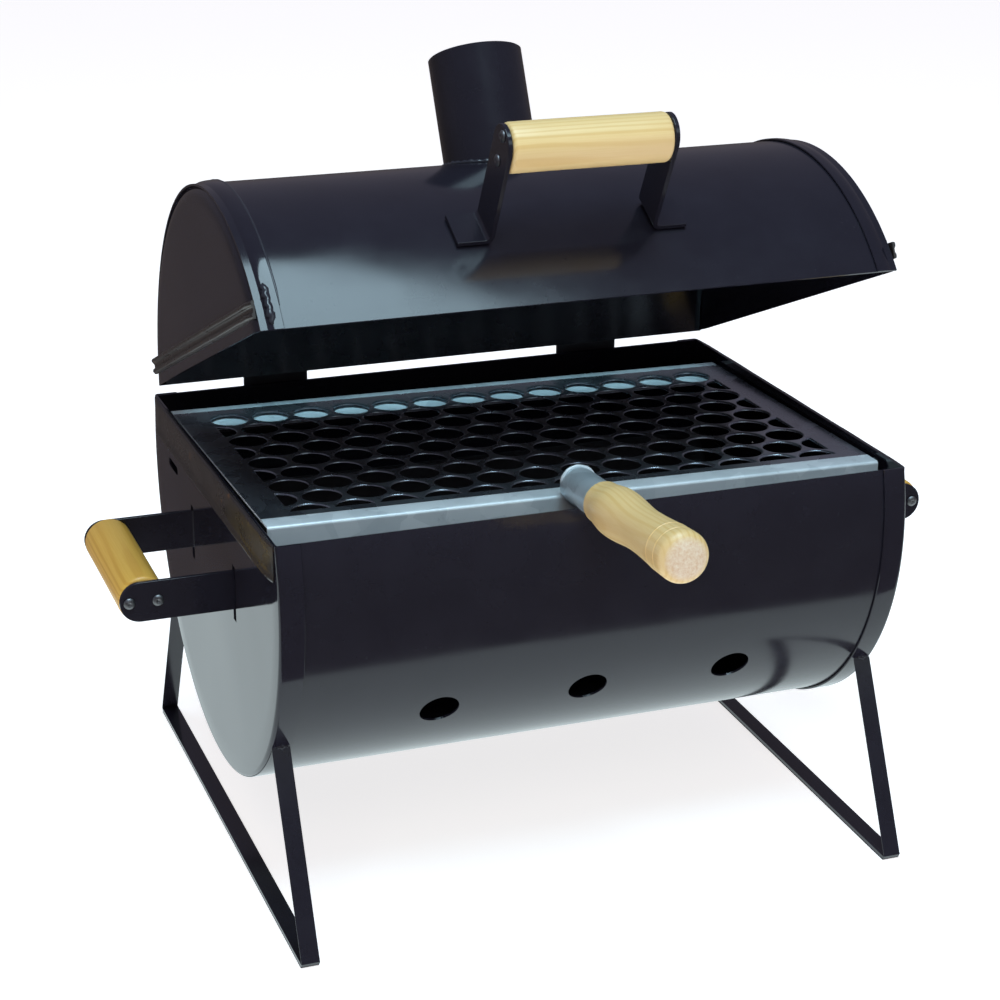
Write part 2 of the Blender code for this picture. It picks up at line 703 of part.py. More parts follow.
def tray_outline(inset, top):
    """Section of the trough, moved inwards by a wall thickness when it is the hollow."""
    slope = math.atan2(TRAY_TOP_HALF - TRAY_BOTTOM_HALF, TRAY_TOP_Z - TRAY_BOTTOM_Z)
    sideways = inset / math.cos(slope)
    bottom = TRAY_BOTTOM_Z + inset
    run = math.tan(slope)

    def half_width(height):
        return TRAY_BOTTOM_HALF + (height - TRAY_BOTTOM_Z) * run - sideways

    low, high = half_width(bottom), half_width(top)
    return [(-high, top), (-low, bottom), (low, bottom), (high, top)]


def make_tray(body, paint):
    solid = prism(tray_outline(0.0, TRAY_TOP_Z), "x", -TRAY_HALF_LENGTH, TRAY_HALF_LENGTH)
    tray = make_object("charcoal_tray", solid, body, paint)
    inner = TRAY_HALF_LENGTH - TRAY_WALL
    hollow = prism(tray_outline(TRAY_WALL, TRAY_TOP_Z + 5.0), "x", -inner, inner)
    boolean(tray, make_cutter("tray_hollow", hollow, body), "DIFFERENCE")
    holes = bmesh.new()
    for row in (-1, 0, 1):
        for number in range(TRAY_HOLE_COUNT):
            x = (number - (TRAY_HOLE_COUNT - 1) / 2) * TRAY_HOLE_PITCH
            ring = arc_points((x, row * TRAY_HOLE_ROW_Y), TRAY_HOLE_RADIUS, 0, 315, 7)
            prism(ring, "z", TRAY_BOTTOM_Z - 5.0, TRAY_BOTTOM_Z + 8.0, holes)
    boolean(tray, make_cutter("tray_holes", holes, body), "DIFFERENCE")
    slope = math.atan2(TRAY_TOP_HALF - TRAY_BOTTOM_HALF, TRAY_TOP_Z - TRAY_BOTTOM_Z)
    wall_z = TRAY_BOTTOM_Z + (TRAY_BAR_Y - TRAY_BOTTOM_HALF) / math.tan(slope)
    tray_bar_z = wall_z - (BAR_ROUND_RADIUS + 0.5) / math.sin(slope)
    for place, word in ((-1, "front"), (1, "rear")):
        make_round_bar("tray_bar_" + word, place * TRAY_BAR_Y, tray_bar_z, body, paint)
    for place_y, word in ((GRATE_REST_FRONT_Y, "front"), (GRATE_REST_REAR_Y, "rear")):
        depth = GRATE_SHEET if place_y < 0 else GRATE_FOLD_DEPTH
        make_round_bar("grate_rest_" + word, place_y, grate_rest_height(place_y, depth), body, paint)


def make_round_bar(name, y, z, parent, material):
    half = INNER_HALF - GAP
    make_object(name, moved(rod(-half, half, BAR_ROUND_RADIUS, 12), (0, y, z)), parent, material)


def grate_rest_height(y, depth):
    """Bar height that just clears the underside of the grate at its lower, right-hand side."""
    sheet_top = GRATE_HEIGHT + y * math.sin(math.radians(GRATE_PITCH))
    low_side = GRATE_RIGHT_X * math.sin(math.radians(GRATE_ROLL))
    return sheet_top - low_side - depth - GAP - BAR_ROUND_RADIUS - 0.2


# --- grate ------------------------------------------------------------------------------------------------


def hole_outline(x, y):
    """A round hole, cut off straight where it would run into the plain margins."""
    points = []
    for px, py in arc_points((x, y), HOLE_RADIUS, 0, 360 * (HOLE_SIDES - 1) / HOLE_SIDES, HOLE_SIDES - 1):
        px = max(-HOLE_LIMIT_X, min(HOLE_LIMIT_X, px))
        py = max(HOLE_LIMIT_FRONT_Y, py)
        if not points or (Vector(points[-1]) - Vector((px, py))).length > 0.5:
            points.append((px, py))
    if (Vector(points[0]) - Vector(points[-1])).length < 0.5:
        points.pop()
    return points


def grate_holes():
    cutters = bmesh.new()
    row_pitch = HOLE_PITCH * math.sin(math.radians(60))
    for row in range(HOLE_ROWS):
        y = HOLE_BACK_Y - row * row_pitch
        count = 13 if row % 2 == 0 else 14
        for number in range(count):
            x = (number - (count - 1) / 2) * HOLE_PITCH
            prism(hole_outline(x, y), "z", -GRATE_SHEET - 0.9, 5.0, cutters)
    return cutters


def make_grate(frame, galvanised):
    """Perforated sheet, its front edge turned down and its back edge folded under; top face at zero."""
    front, back = GRATE_FRONT_Y, GRATE_BACK_Y
    outline = [
        (front + 1.0, 0.0),
        (front, -1.0),
        (front, -GRATE_FLANGE),
        (front + GRATE_SHEET, -GRATE_FLANGE),
        (front + GRATE_SHEET, -GRATE_SHEET),
        (back - GRATE_SHEET, -GRATE_SHEET),
        (back - GRATE_SHEET, GRATE_SHEET - GRATE_FOLD_DEPTH),
        (back - GRATE_FOLD_LENGTH, GRATE_SHEET - GRATE_FOLD_DEPTH),
        (back - GRATE_FOLD_LENGTH, -GRATE_FOLD_DEPTH),
        (back - 1.0, -GRATE_FOLD_DEPTH),
        (back, 1.0 - GRATE_FOLD_DEPTH),
        (back, -1.0),
        (back - 1.0, 0.0),
    ]
    mesh_data = prism(outline, "x", GRATE_LEFT_X, GRATE_RIGHT_X)
    sheet = make_object("grate_sheet", mesh_data, frame, galvanised)
    boolean(sheet, make_cutter("grate_hole_cut", grate_holes(), frame), "DIFFERENCE")


def grip_profile(length):
    """Turned grip: it swells behind the ferrule, narrows to a waist and ends in a round knob."""
    points = [(0.0, GRATE_GRIP_STATIONS[0][1] - 1.0)]
    for (start, low), (end, high) in zip(GRATE_GRIP_STATIONS, GRATE_GRIP_STATIONS[1:]):
        for step in range(4):
            share = step / 4
            blend = (1 - math.cos(math.pi * share)) / 2
            points.append((1.0 + (start + (end - start) * share) * length, low + (high - low) * blend))
    last = GRATE_GRIP_STATIONS[-1]
    points += [(last[0] * length, last[1]), (length - 4.0, 16.0), (length - 1.2, 12.5), (length, 0.0)]
    return points


def make_grate_handle(frame, galvanised, wood, steel):
    """Ferrule, rod and grip along the handle frame's X axis, away from the grate."""
    end = FERRULE_START + FERRULE_LENGTH
    bore = FERRULE_RADIUS - FERRULE_WALL
    profile = [
        (FERRULE_START, bore),
        (FERRULE_START, FERRULE_RADIUS),
        (end, FERRULE_RADIUS),
        (end, bore),
    ]
    ferrule = turned(profile, 24, True)
    make_object("grate_ferrule", ferrule, frame, galvanised)
    make_object("grate_rod", rod(FERRULE_START, ROD_LENGTH, ROD_RADIUS, 14), frame, steel)
    start = end + GAP
    mesh_data = moved(turned([(0.0, 0.0)] + grip_profile(GRATE_GRIP_LENGTH), 24), (start, 0, 0))
    grip = make_object("grate_grip", mesh_data, frame, wood)
    bore_cut = rod(start - 5.0, ROD_LENGTH + 1.0, ROD_RADIUS + GAP, 14)
    boolean(grip, make_cutter("grip_bore", bore_cut, frame), "DIFFERENCE")


def main():
    clear_scene()
    paint = make_material("black_paint", PAINT_COLOUR, 0.22, 0.0)
    galvanised = make_material("galvanised_steel", GALVANISED_COLOUR, 0.35, 1.0)
    wood = make_material("varnished_wood", WOOD_COLOUR, 0.4, 0.0)
    steel = make_material("screw_steel", SCREW_COLOUR, 0.4, 1.0)

    body = make_empty("body_frame", (0, BARREL_Y, 0))
    make_body(body, paint)
    make_legs(body, paint)
    make_side_handles(body, paint, wood, steel)
    make_tray(body, paint)

    hinge_axis = make_empty("lid_hinge_axis", (0, HINGE_Y, HINGE_Z), (-LID_OPEN_ANGLE, 0, 0), body)
    lid = make_empty("lid_frame", (0, -HINGE_Y, -HINGE_Z), parent=hinge_axis)
    make_lid(lid, paint)
    make_chimney(lid, paint)
    make_lid_handle(lid, paint, wood, steel)
    make_hinges(body, lid, paint, steel)

    grate = make_empty("grate_frame", (0, 0, GRATE_HEIGHT), (GRATE_PITCH, GRATE_ROLL, 0), body)
    make_grate(grate, galvanised)
    handle = make_empty("grate_handle_frame", (GRATE_HANDLE_X, GRATE_HANDLE_Y, GRATE_HANDLE_Z),
                        (0, -GRATE_HANDLE_LIFT, -90), body)
    make_grate_handle(handle, galvanised, wood, steel)


main()
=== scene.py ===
import json
import math

import bmesh
import bpy
from mathutils import Matrix, Vector


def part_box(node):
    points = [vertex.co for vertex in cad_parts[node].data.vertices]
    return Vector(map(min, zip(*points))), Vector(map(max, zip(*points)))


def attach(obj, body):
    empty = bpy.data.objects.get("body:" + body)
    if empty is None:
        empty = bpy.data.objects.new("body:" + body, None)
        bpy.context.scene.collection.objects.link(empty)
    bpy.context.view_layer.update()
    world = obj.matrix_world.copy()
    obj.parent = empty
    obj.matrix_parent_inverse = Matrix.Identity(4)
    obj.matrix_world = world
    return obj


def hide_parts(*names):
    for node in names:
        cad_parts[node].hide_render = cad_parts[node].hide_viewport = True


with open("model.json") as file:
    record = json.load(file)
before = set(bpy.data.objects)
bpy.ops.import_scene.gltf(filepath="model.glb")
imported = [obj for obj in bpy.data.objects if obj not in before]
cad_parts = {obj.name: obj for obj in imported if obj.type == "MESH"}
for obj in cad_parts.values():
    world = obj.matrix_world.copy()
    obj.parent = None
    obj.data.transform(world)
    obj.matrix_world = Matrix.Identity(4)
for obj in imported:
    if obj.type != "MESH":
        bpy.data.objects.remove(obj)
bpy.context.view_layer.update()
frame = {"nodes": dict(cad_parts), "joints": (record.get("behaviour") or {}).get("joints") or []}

MM = 0.001

# ------------------------------------------------------------------ where things are, from the CAD
BARREL_Y = (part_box("body_shell")[0].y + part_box("body_shell")[1].y) / 2
JOINTS = {joint["name"]: joint for joint in frame["joints"]}
PIVOT = Vector(JOINTS["lid_hinge"]["pos_m"])
LID_OPEN = math.radians(-23.1)
BARREL = Matrix.Translation((0, BARREL_Y, 0)) @ Matrix.Scale(MM, 4)
PIVOT_MM = Vector((0, (PIVOT.y - BARREL_Y) / MM, PIVOT.z / MM))
LID = (Matrix.Translation(PIVOT) @ Matrix.Rotation(LID_OPEN, 4, "X") @ Matrix.Scale(MM, 4)
       @ Matrix.Translation(-PIVOT_MM))

# ------------------------------------------------------------------ the CAD's dimensions, millimetres
HALF = 225.0
SHEET = 1.5
R_OUT = 178.5
R_SHELL = 176.7
AXIS_Z = 240.0
RIM_Z = 284.5
RIM_TILT = math.radians(1.16)
LID_RIM_Z = 284.5
LID_C = LID_RIM_Z + 121.5 - R_OUT
SKIRT = 17.0
GAP = 0.3
AIR_HOLE_PLACES = (-108.0, 0.0, 108.0)
HEM_HEIGHT = 25.0
HEM_HALF = 169.0
BAND_HALF = 164.0
SLIT_FRONT, SLIT_REAR, SLIT_Z, SLIT_ROUND = 106.25, 127.75, 242.5, 3.25
BAR_WIDTH = 28.5
BAR_THICK = 3.2
FOOT_LENGTH = 22.0
GRIP_RADIUS = 16.5
SCREW_OFFSET = 9.8
SIDE_GRIP_X, SIDE_GRIP_Z, SIDE_BAR_Y = 287.7, 214.5, 60.0
LID_GRIP_TURN = 140.7
LID_BRACKET_X = 57.6
CHIMNEY_RADIUS, CHIMNEY_WALL, CHIMNEY_RISE = 33.7, 1.5, 80.0
CHIMNEY_Y = -6.0
CHIMNEY_LEAN = math.radians(4.0)
GRATE_Z = 281.8
GRATE_ROLL, GRATE_PITCH = math.radians(0.9), math.radians(-2.0)
GRATE_LEFT, GRATE_RIGHT, GRATE_FRONT, GRATE_BACK = -222.0, 220.0, -142.4, 133.0
# Where the grate's plain zinc middle ends; in front of and behind these limits the grate has the pale zinc
# copy with painted light.
PAINTED_LIT_FRONT, PAINTED_LIT_REAR = -126.0, 122.0
GRATE_HANDLE = (-8.0, GRATE_FRONT, 293.7)
GRATE_HANDLE_LIFT = math.radians(4.5)


def clean(name):
    return "".join(c if c.isalnum() or c in "_.-" else "_" for c in name)


# ------------------------------------------------------------------ materials
def tree_of(name):
    material = bpy.data.materials.new(name)
    material.use_nodes = True
    nodes = material.node_tree.nodes
    links = material.node_tree.links
    return material, nodes, links, nodes["Principled BSDF"]


def coords(nodes, links, scale=(1, 1, 1), rotation=(0, 0, 0)):
    source = nodes.new("ShaderNodeTexCoord")
    mapping = nodes.new("ShaderNodeMapping")
    mapping.inputs["Scale"].default_value = scale
    mapping.inputs["Rotation"].default_value = rotation
    links.new(source.outputs["Object"], mapping.inputs["Vector"])
    return mapping.outputs["Vector"]


def noise(nodes, links, vector, scale, detail=3.0, rough=0.5, distortion=0.0):
    node = nodes.new("ShaderNodeTexNoise")
    node.inputs["Scale"].default_value = scale
    node.inputs["Detail"].default_value = detail
    node.inputs["Roughness"].default_value = rough
    node.inputs["Distortion"].default_value = distortion
    links.new(vector, node.inputs["Vector"])
    return node.outputs["Fac"]


def ramp(nodes, links, value, stops):
    node = nodes.new("ShaderNodeValToRGB")
    elements = node.color_ramp.elements
    while len(elements) < len(stops):
        elements.new(0.5)
    for element, (position, colour) in zip(elements, stops):
        element.position = position
        if isinstance(colour, (int, float)):
            colour = (colour, colour, colour)
        element.color = (*colour, 1.0)
    links.new(value, node.inputs["Fac"])
    return node.outputs["Color"]


def spread(nodes, links, value, low_in, high_in, low, high):
    node = nodes.new("ShaderNodeMapRange")
    node.inputs["From Min"].default_value = low_in
    node.inputs["From Max"].default_value = high_in
    node.inputs["To Min"].default_value = low
    node.inputs["To Max"].default_value = high
    links.new(value, node.inputs["Value"])
    return node.outputs["Result"]


def mix_colour(nodes, links, factor, first, second):
    node = nodes.new("ShaderNodeMix")
    node.data_type = "RGBA"
    links.new(factor, node.inputs[0])
    for value, socket in ((first, node.inputs[6]), (second, node.inputs[7])):
        if isinstance(value, tuple):
            socket.default_value = (*value, 1.0)
        else:
            links.new(value, socket)
    return node.outputs[2]


def maths(nodes, links, operation, first, second):
    node = nodes.new("ShaderNodeMath")
    node.operation = operation
    for value, socket in ((first, node.inputs[0]), (second, node.inputs[1])):
        if isinstance(value, (int, float)):
            socket.default_value = value
        else:
            links.new(value, socket)
    return node.outputs[0]


def bump(nodes, links, height, distance, strength=1.0, normal=None):
    node = nodes.new("ShaderNodeBump")
    node.inputs["Distance"].default_value = distance
    node.inputs["Strength"].default_value = strength
    links.new(height, node.inputs["Height"])
    if normal is not None:
        links.new(normal, node.inputs["Normal"])
    return node.outputs["Normal"]


def paint_material(name, base, rough_low, rough_high, wave=0.6, dust=0.0, rust=0.0, scratches=0.25):
    """Glossy black enamel on sheet steel: slow waves in the sheet, orange peel, wipe marks."""
    material, nodes, links, shader = tree_of(name)
    vector = coords(nodes, links)
    slow = noise(nodes, links, vector, 6.0, 1.5, 0.4)
    cloud = noise(nodes, links, vector, 28.0, 4.0, 0.6)
    peel = noise(nodes, links, vector, 900.0, 1.0, 0.5)
    streak_vector = coords(nodes, links, (3, 150, 150))
    streak = noise(nodes, links, streak_vector, 1.0, 3.0, 0.7)
    grit = noise(nodes, links, vector, 420.0, 2.0, 0.6)
    colour = mix_colour(nodes, links, cloud, base, tuple(c * 1.5 + 0.001 for c in base))
    specks = ramp(nodes, links, grit, [(0.0, 0.0), (0.70, 0.0), (0.76, 1.0)])
    dusty = maths(nodes, links, "MULTIPLY", specks, dust)
    colour = mix_colour(nodes, links, dusty, colour, (0.16, 0.15, 0.14))
    if rust > 0:
        spots = noise(nodes, links, vector, 75.0, 3.0, 0.6)
        mask = ramp(nodes, links, spots, [(0.0, 0.0), (0.66, 0.0), (0.74, 1.0)])
        mask = maths(nodes, links, "MULTIPLY", mask, rust)
        colour = mix_colour(nodes, links, mask, colour, (0.20, 0.085, 0.02))
    links.new(colour, shader.inputs["Base Color"])
    marks = maths(nodes, links, "ADD", maths(nodes, links, "MULTIPLY", streak, scratches),
                  maths(nodes, links, "MULTIPLY", cloud, 1.0 - scratches))
    rough = spread(nodes, links, marks, 0.3, 0.7, rough_low, rough_high)
    links.new(rough, shader.inputs["Roughness"])
    height = maths(nodes, links, "MULTIPLY", slow, wave)
    normal = bump(nodes, links, height, 0.0035)
    normal = bump(nodes, links, peel, 0.00001, 0.5, normal)
    links.new(normal, shader.inputs["Normal"])
    shader.inputs["IOR"].default_value = 1.5
    return material


def zinc_material(name, dark, light, rough_low, rough_high, spangle=60.0, wave=0.3, metal=1.0):
    """Galvanised sheet: flat crystal patches of slightly different tone, dull wipe marks."""
    material, nodes, links, shader = tree_of(name)
    vector = coords(nodes, links)
    cells = nodes.new("ShaderNodeTexVoronoi")
    cells.inputs["Scale"].default_value = spangle
    links.new(vector, cells.inputs["Vector"])
    tone = nodes.new("ShaderNodeSeparateColor")
    links.new(cells.outputs["Color"], tone.inputs["Color"])
    cloud = noise(nodes, links, vector, 22.0, 4.0, 0.6)
    blend = maths(nodes, links, "ADD", maths(nodes, links, "MULTIPLY", tone.outputs[0], 0.35),
                  maths(nodes, links, "MULTIPLY", cloud, 0.65))
    colour = ramp(nodes, links, blend, [(0.25, dark), (0.75, light)])
    stain = noise(nodes, links, vector, 55.0, 5.0, 0.7)
    mask = ramp(nodes, links, stain, [(0.0, 0.0), (0.60, 0.0), (0.80, 0.7)])
    colour = mix_colour(nodes, links, mask, colour, tuple(c * 0.45 for c in dark))
    links.new(colour, shader.inputs["Base Color"])
    shader.inputs["Metallic"].default_value = metal
    links.new(spread(nodes, links, blend, 0.25, 0.75, rough_low, rough_high), shader.inputs["Roughness"])
    slow = noise(nodes, links, vector, 9.0, 2.0, 0.5)
    normal = bump(nodes, links, slow, 0.002, wave)
    fine = noise(nodes, links, vector, 350.0, 2.0, 0.5)
    normal = bump(nodes, links, fine, 0.00004, 0.6, normal)
    links.new(normal, shader.inputs["Normal"])
    return material


def wood_material(name, pale, deep, rosy):
    """Pale turned pine: long rings running with the grip, fine pores, a thin varnish."""
    material, nodes, links, shader = tree_of(name)
    vector = coords(nodes, links, (100, 1000, 1000))
    warp = noise(nodes, links, vector, 0.035, 2.0, 0.5)
    ring = nodes.new("ShaderNodeTexWave")
    ring.wave_type = "BANDS"
    ring.bands_direction = "Y"
    ring.inputs["Scale"].default_value = 0.085
    ring.inputs["Distortion"].default_value = 7.0
    ring.inputs["Detail"].default_value = 2.5
    ring.inputs["Detail Scale"].default_value = 0.5
    links.new(vector, ring.inputs["Vector"])
    fibre_vector = coords(nodes, links, (20, 1000, 1000))
    fibre = noise(nodes, links, fibre_vector, 1.3, 3.0, 0.6)
    colour = ramp(nodes, links, ring.outputs["Fac"], [(0.0, pale), (0.55, pale), (0.9, deep)])
    colour = mix_colour(nodes, links, spread(nodes, links, warp, 0.35, 0.7, 0.0, 0.75), colour, rosy)
    tint = spread(nodes, links, fibre, 0.3, 0.75, 0.0, 0.35)
    colour = mix_colour(nodes, links, tint, colour, deep)
    facing = nodes.new("ShaderNodeSeparateXYZ")
    source = nodes.new("ShaderNodeTexCoord")
    links.new(source.outputs["Normal"], facing.inputs["Vector"])
    fleck = noise(nodes, links, coords(nodes, links, (1000, 1000, 1000)), 0.45, 3.0, 0.7)
    end_tone = ramp(nodes, links, fleck, [(0.35, (0.78, 0.52, 0.33)), (0.65, (0.92, 0.76, 0.60))])
    end_mask = spread(nodes, links, facing.outputs["X"], 0.75, 0.95, 0.0, 0.85)
    colour = mix_colour(nodes, links, end_mask, colour, end_tone)
    links.new(colour, shader.inputs["Base Color"])
    links.new(spread(nodes, links, fibre, 0.3, 0.7, 0.36, 0.5), shader.inputs["Roughness"])
    links.new(bump(nodes, links, fibre, 0.00012, 0.35), shader.inputs["Normal"])
    shader.inputs["Coat Weight"].default_value = 0.25
    shader.inputs["Coat Roughness"].default_value = 0.25
    return material


def steel_material(name, colour, roughness):
    material, nodes, links, shader = tree_of(name)
    vector = coords(nodes, links)
    cloud = noise(nodes, links, vector, 600.0, 3.0, 0.6)
    links.new(ramp(nodes, links, cloud, [(0.3, tuple(c * 0.6 for c in colour)), (0.7, colour)]),
              shader.inputs["Base Color"])
    shader.inputs["Metallic"].default_value = 1.0
    links.new(spread(nodes, links, cloud, 0.3, 0.7, roughness, roughness + 0.2),
              shader.inputs["Roughness"])
    links.new(bump(nodes, links, cloud, 0.0001, 0.4), shader.inputs["Normal"])
    return material


BLACK = (0.010, 0.009, 0.014)
PAINT = paint_material("gloss_black", BLACK, 0.12, 0.19, wave=0.5, dust=0.06)
PLATE = paint_material("gloss_black_plate", BLACK, 0.06, 0.11, wave=0.5, dust=0.04)
HEM = paint_material("black_hem", (0.020, 0.016, 0.015), 0.22, 0.36, wave=0.3, dust=0.2, rust=0.8)
SATIN = paint_material("satin_black", (0.014, 0.013, 0.016), 0.34, 0.50, wave=0.3, dust=0.10)
WELD = paint_material("black_weld", (0.02, 0.02, 0.026), 0.14, 0.30, wave=0.0, dust=0.05)
ZINC = zinc_material("zinc_grate", (0.26, 0.29, 0.34), (0.42, 0.47, 0.52), 0.20, 0.34, wave=0.06, metal=0.9)
# Pale, less metallic copy of the grate's zinc: painted light on the grate's front and rear strips and its
# flanges, also used for the ferrule weld.
ZINC_PAINTED_LIT = zinc_material("zinc_bright", (0.66, 0.74, 0.77), (0.88, 0.95, 0.97), 0.36, 0.50, metal=0.25)
ZINC_PALE = zinc_material("zinc_pale", (0.50, 0.58, 0.62), (0.75, 0.84, 0.88), 0.30, 0.46, metal=0.6)
WOOD = wood_material("varnished_pine", (0.87, 0.63, 0.28), (0.77, 0.50, 0.17), (0.87, 0.58, 0.28))
WOOD_DEEP = wood_material("varnished_pine_deep", (0.86, 0.50, 0.085), (0.70, 0.35, 0.04),
                          (0.84, 0.45, 0.09))
SCREW = steel_material("dull_steel", (0.34, 0.34, 0.35), 0.35)


# ------------------------------------------------------------------ mesh helpers, millimetres
def new_object(name, mesh_data, place, materials, body, nodes=(), angle=38.0):
    """A piece drawn in millimetres in its own axes; place takes those axes to the frame."""
    scale = place.to_scale().x
    rigid = place @ Matrix.Scale(1 / scale, 4)
    mesh = bpy.data.meshes.new(clean(name))
    bmesh.ops.recalc_face_normals(mesh_data, faces=mesh_data.faces)
    mesh_data.transform(Matrix.Scale(scale, 4))
    mesh_data.to_mesh(mesh)
    mesh_data.free()
    for material in materials:
        mesh.materials.append(material)
    piece = bpy.data.objects.new(clean(name), mesh)
    bpy.context.scene.collection.objects.link(piece)
    piece.matrix_world = rigid
    mesh.shade_smooth()
    mesh.set_sharp_from_angle(angle=math.radians(angle))
    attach(piece, body)
    if nodes:
        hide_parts(*nodes)
    return piece


def add_bevel(piece, width, segments=2, angle=35.0):
    modifier = piece.modifiers.new("bevel", "BEVEL")
    modifier.width = width * MM
    modifier.segments = segments
    modifier.limit_method = "ANGLE"
    modifier.angle_limit = math.radians(angle)
    modifier.harden_normals = True
    return piece


def cut(piece, mesh_data):
    """Boolean with a tool drawn in the piece's own millimetres, applied straight away."""
    mesh = bpy.data.meshes.new("tool")
    bmesh.ops.recalc_face_normals(mesh_data, faces=mesh_data.faces)
    mesh_data.transform(Matrix.Scale(MM, 4))
    mesh_data.to_mesh(mesh)
    mesh_data.free()
    tool = bpy.data.objects.new("tool", mesh)
    bpy.context.scene.collection.objects.link(tool)
    tool.matrix_world = piece.matrix_world
    modifier = piece.modifiers.new("cut", "BOOLEAN")
    modifier.operation = "DIFFERENCE"
    modifier.solver = "EXACT"
    modifier.object = tool
    bpy.context.view_layer.update()
    depsgraph = bpy.context.evaluated_depsgraph_get()
    result = bpy.data.meshes.new_from_object(piece.evaluated_get(depsgraph))
    piece.modifiers.remove(modifier)
    old = piece.data
    piece.data = result
    bpy.data.meshes.remove(old)
    bpy.data.objects.remove(tool)
    bpy.data.meshes.remove(mesh)
    return piece


def smooth_again(piece, angle=38.0):
    piece.data.shade_smooth()
    piece.data.set_sharp_from_angle(angle=math.radians(angle))
    return piece


def round_normals(piece, centre_z, slack=0.45):
    """Point the corners of every face that lies on a barrel surface straight out from its axis."""
    mesh = piece.data
    normals = [None] * len(mesh.loops)
    for polygon in mesh.polygons:
        for loop_index in polygon.loop_indices:
            normals[loop_index] = polygon.normal.copy()
        middle = polygon.center
        out = Vector((0, middle.y, middle.z - centre_z * MM))
        if out.length < 0.1 or abs(polygon.normal.x) > 0.3:
            continue
        facing = polygon.normal.dot(out.normalized())
        if abs(facing) < 1 - slack * 0.05:
            continue
        sign = 1 if facing > 0 else -1
        for loop_index in polygon.loop_indices:
            point = mesh.vertices[mesh.loops[loop_index].vertex_index].co
            normal = Vector((0, point.y, point.z - centre_z * MM)).normalized() * sign
            normals[loop_index] = normal
    mesh.normals_split_custom_set([tuple(normal) for normal in normals])
    return piece


def prism(outline, axis, low, high):
    """Extrude a closed outline along one axis."""
    mesh_data = bmesh.new()

    def place(point, along):
        point = list(point)
        point.insert("xyz".index(axis), along)
        return mesh_data.verts.new(point)

    near = [place(point, low) for point in outline]
    far = [place(point, high) for point in outline]
    mesh_data.faces.new(near)
    mesh_data.faces.new(list(reversed(far)))
    for index in range(len(outline)):
        after = (index + 1) % len(outline)
        mesh_data.faces.new((near[after], near[index], far[index], far[after]))
    return mesh_data


def box(low, high):
    outline = [(low[0], low[1]), (high[0], low[1]), (high[0], high[1]), (low[0], high[1])]
    return prism(outline, "z", low[2], high[2])


def turned(profile, segments, closed_profile=False):
    """Spin (along, radius) points round the X axis."""
    mesh_data = bmesh.new()
    rings = []
    for along, radius in profile:
        if radius == 0.0:
            rings.append([mesh_data.verts.new((along, 0.0, 0.0))])
            continue
        ring = []
        for step in range(segments):
            turn = 2 * math.pi * step / segments
            ring.append(mesh_data.verts.new((along, radius * math.cos(turn), radius * math.sin(turn))))
        rings.append(ring)
    pairs = list(zip(rings, rings[1:]))
    if closed_profile:
        pairs.append((rings[-1], rings[0]))
    for first, second in pairs:
        for step in range(segments):
            after = (step + 1) % segments
            if len(first) == 1:
                mesh_data.faces.new((first[0], second[step], second[after]))
            elif len(second) == 1:
                mesh_data.faces.new((first[step], first[after], second[0]))
            else:
                mesh_data.faces.new((first[step], first[after], second[after], second[step]))
    return mesh_data


def rod(start, end, radius, segments=48):
    return turned([(start, 0.0), (start, radius), (end, radius), (end, 0.0)], segments)


def arc_points(centre, radius, start, end, steps):
    points = []
    for step in range(steps + 1):
        turn = math.radians(start + (end - start) * step / steps)
        points.append((centre[0] + radius * math.cos(turn), centre[1] + radius * math.sin(turn)))
    return points


def bead(points, radius, sides=10, wobble=0.22, seed=0.0):
    """A weld bead: a lumpy rope through the points, tapered at both ends."""
    mesh_data = bmesh.new()
    rings = []
    count = len(points)
    for index, point in enumerate(points):
        before = Vector(points[max(index - 1, 0)])
        after = Vector(points[min(index + 1, count - 1)])
        along = (after - before).normalized()
        side = along.cross(Vector((0.31, 0.52, 0.79))).normalized()
        other = along.cross(side)
        swell = 1 + wobble * math.sin(index * 2.1 + seed) + 0.5 * wobble * math.sin(index * 0.77 + seed * 3)
        edge = min(index, count - 1 - index)
        taper = (0.25, 0.7, 0.95)[edge] if edge < 3 else 1.0
        ring = []
        for step in range(sides):
            turn = 2 * math.pi * step / sides
            offset = side * math.cos(turn) + other * math.sin(turn)
            ring.append(mesh_data.verts.new(Vector(point) + offset * radius * swell * taper))
        rings.append(ring)
    for first, second in zip(rings, rings[1:]):
        for step in range(sides):
            after = (step + 1) % sides
            mesh_data.faces.new((first[step], first[after], second[after], second[step]))
    mesh_data.faces.new(rings[0])
    mesh_data.faces.new(list(reversed(rings[-1])))
    return mesh_data


# ------------------------------------------------------------------ barrel and lid sheets
def rolled_sheet(name, centre_z, rim_z, lower, place, body, node, holes):
    """Sheet rolled to the barrel's curve, with a rounded sheared edge along both rims."""
    half = HALF - SHEET - GAP
    tilt = RIM_TILT if lower else 0.0
    dip = math.asin((rim_z - centre_z) * math.cos(tilt) / R_SHELL)
    front, rear = math.degrees(dip + tilt), math.degrees(dip - tilt)
    start, end = (180 - front, 360 + rear) if lower else (rear, 180 - front)
    steps = 160
    outer = arc_points((0, centre_z), R_SHELL, start, end, steps)
    inner = arc_points((0, centre_z), R_SHELL - SHEET, end, start, steps)
    columns = 9
    mesh_data = bmesh.new()
    rings = []
    for column in range(columns):
        x = -half + 2 * half * column / (columns - 1)
        rings.append([mesh_data.verts.new((x, y, z)) for y, z in outer + inner])
    count = len(rings[0])
    for first, second in zip(rings, rings[1:]):
        for index in range(count):
            after = (index + 1) % count
            mesh_data.faces.new((first[index], first[after], second[after], second[index]))
    for ring in (rings[0], rings[-1]):
        for index in range(steps):
            mesh_data.faces.new((ring[index], ring[index + 1],
                                 ring[count - 2 - index], ring[count - 1 - index]))
    piece = new_object(name, mesh_data, place, [PAINT], body, [node])
    for hole in holes:
        cut(piece, hole)
    smooth_again(piece)
    round_normals(piece, centre_z)
    return add_bevel(piece, 0.45, 2, 50.0)


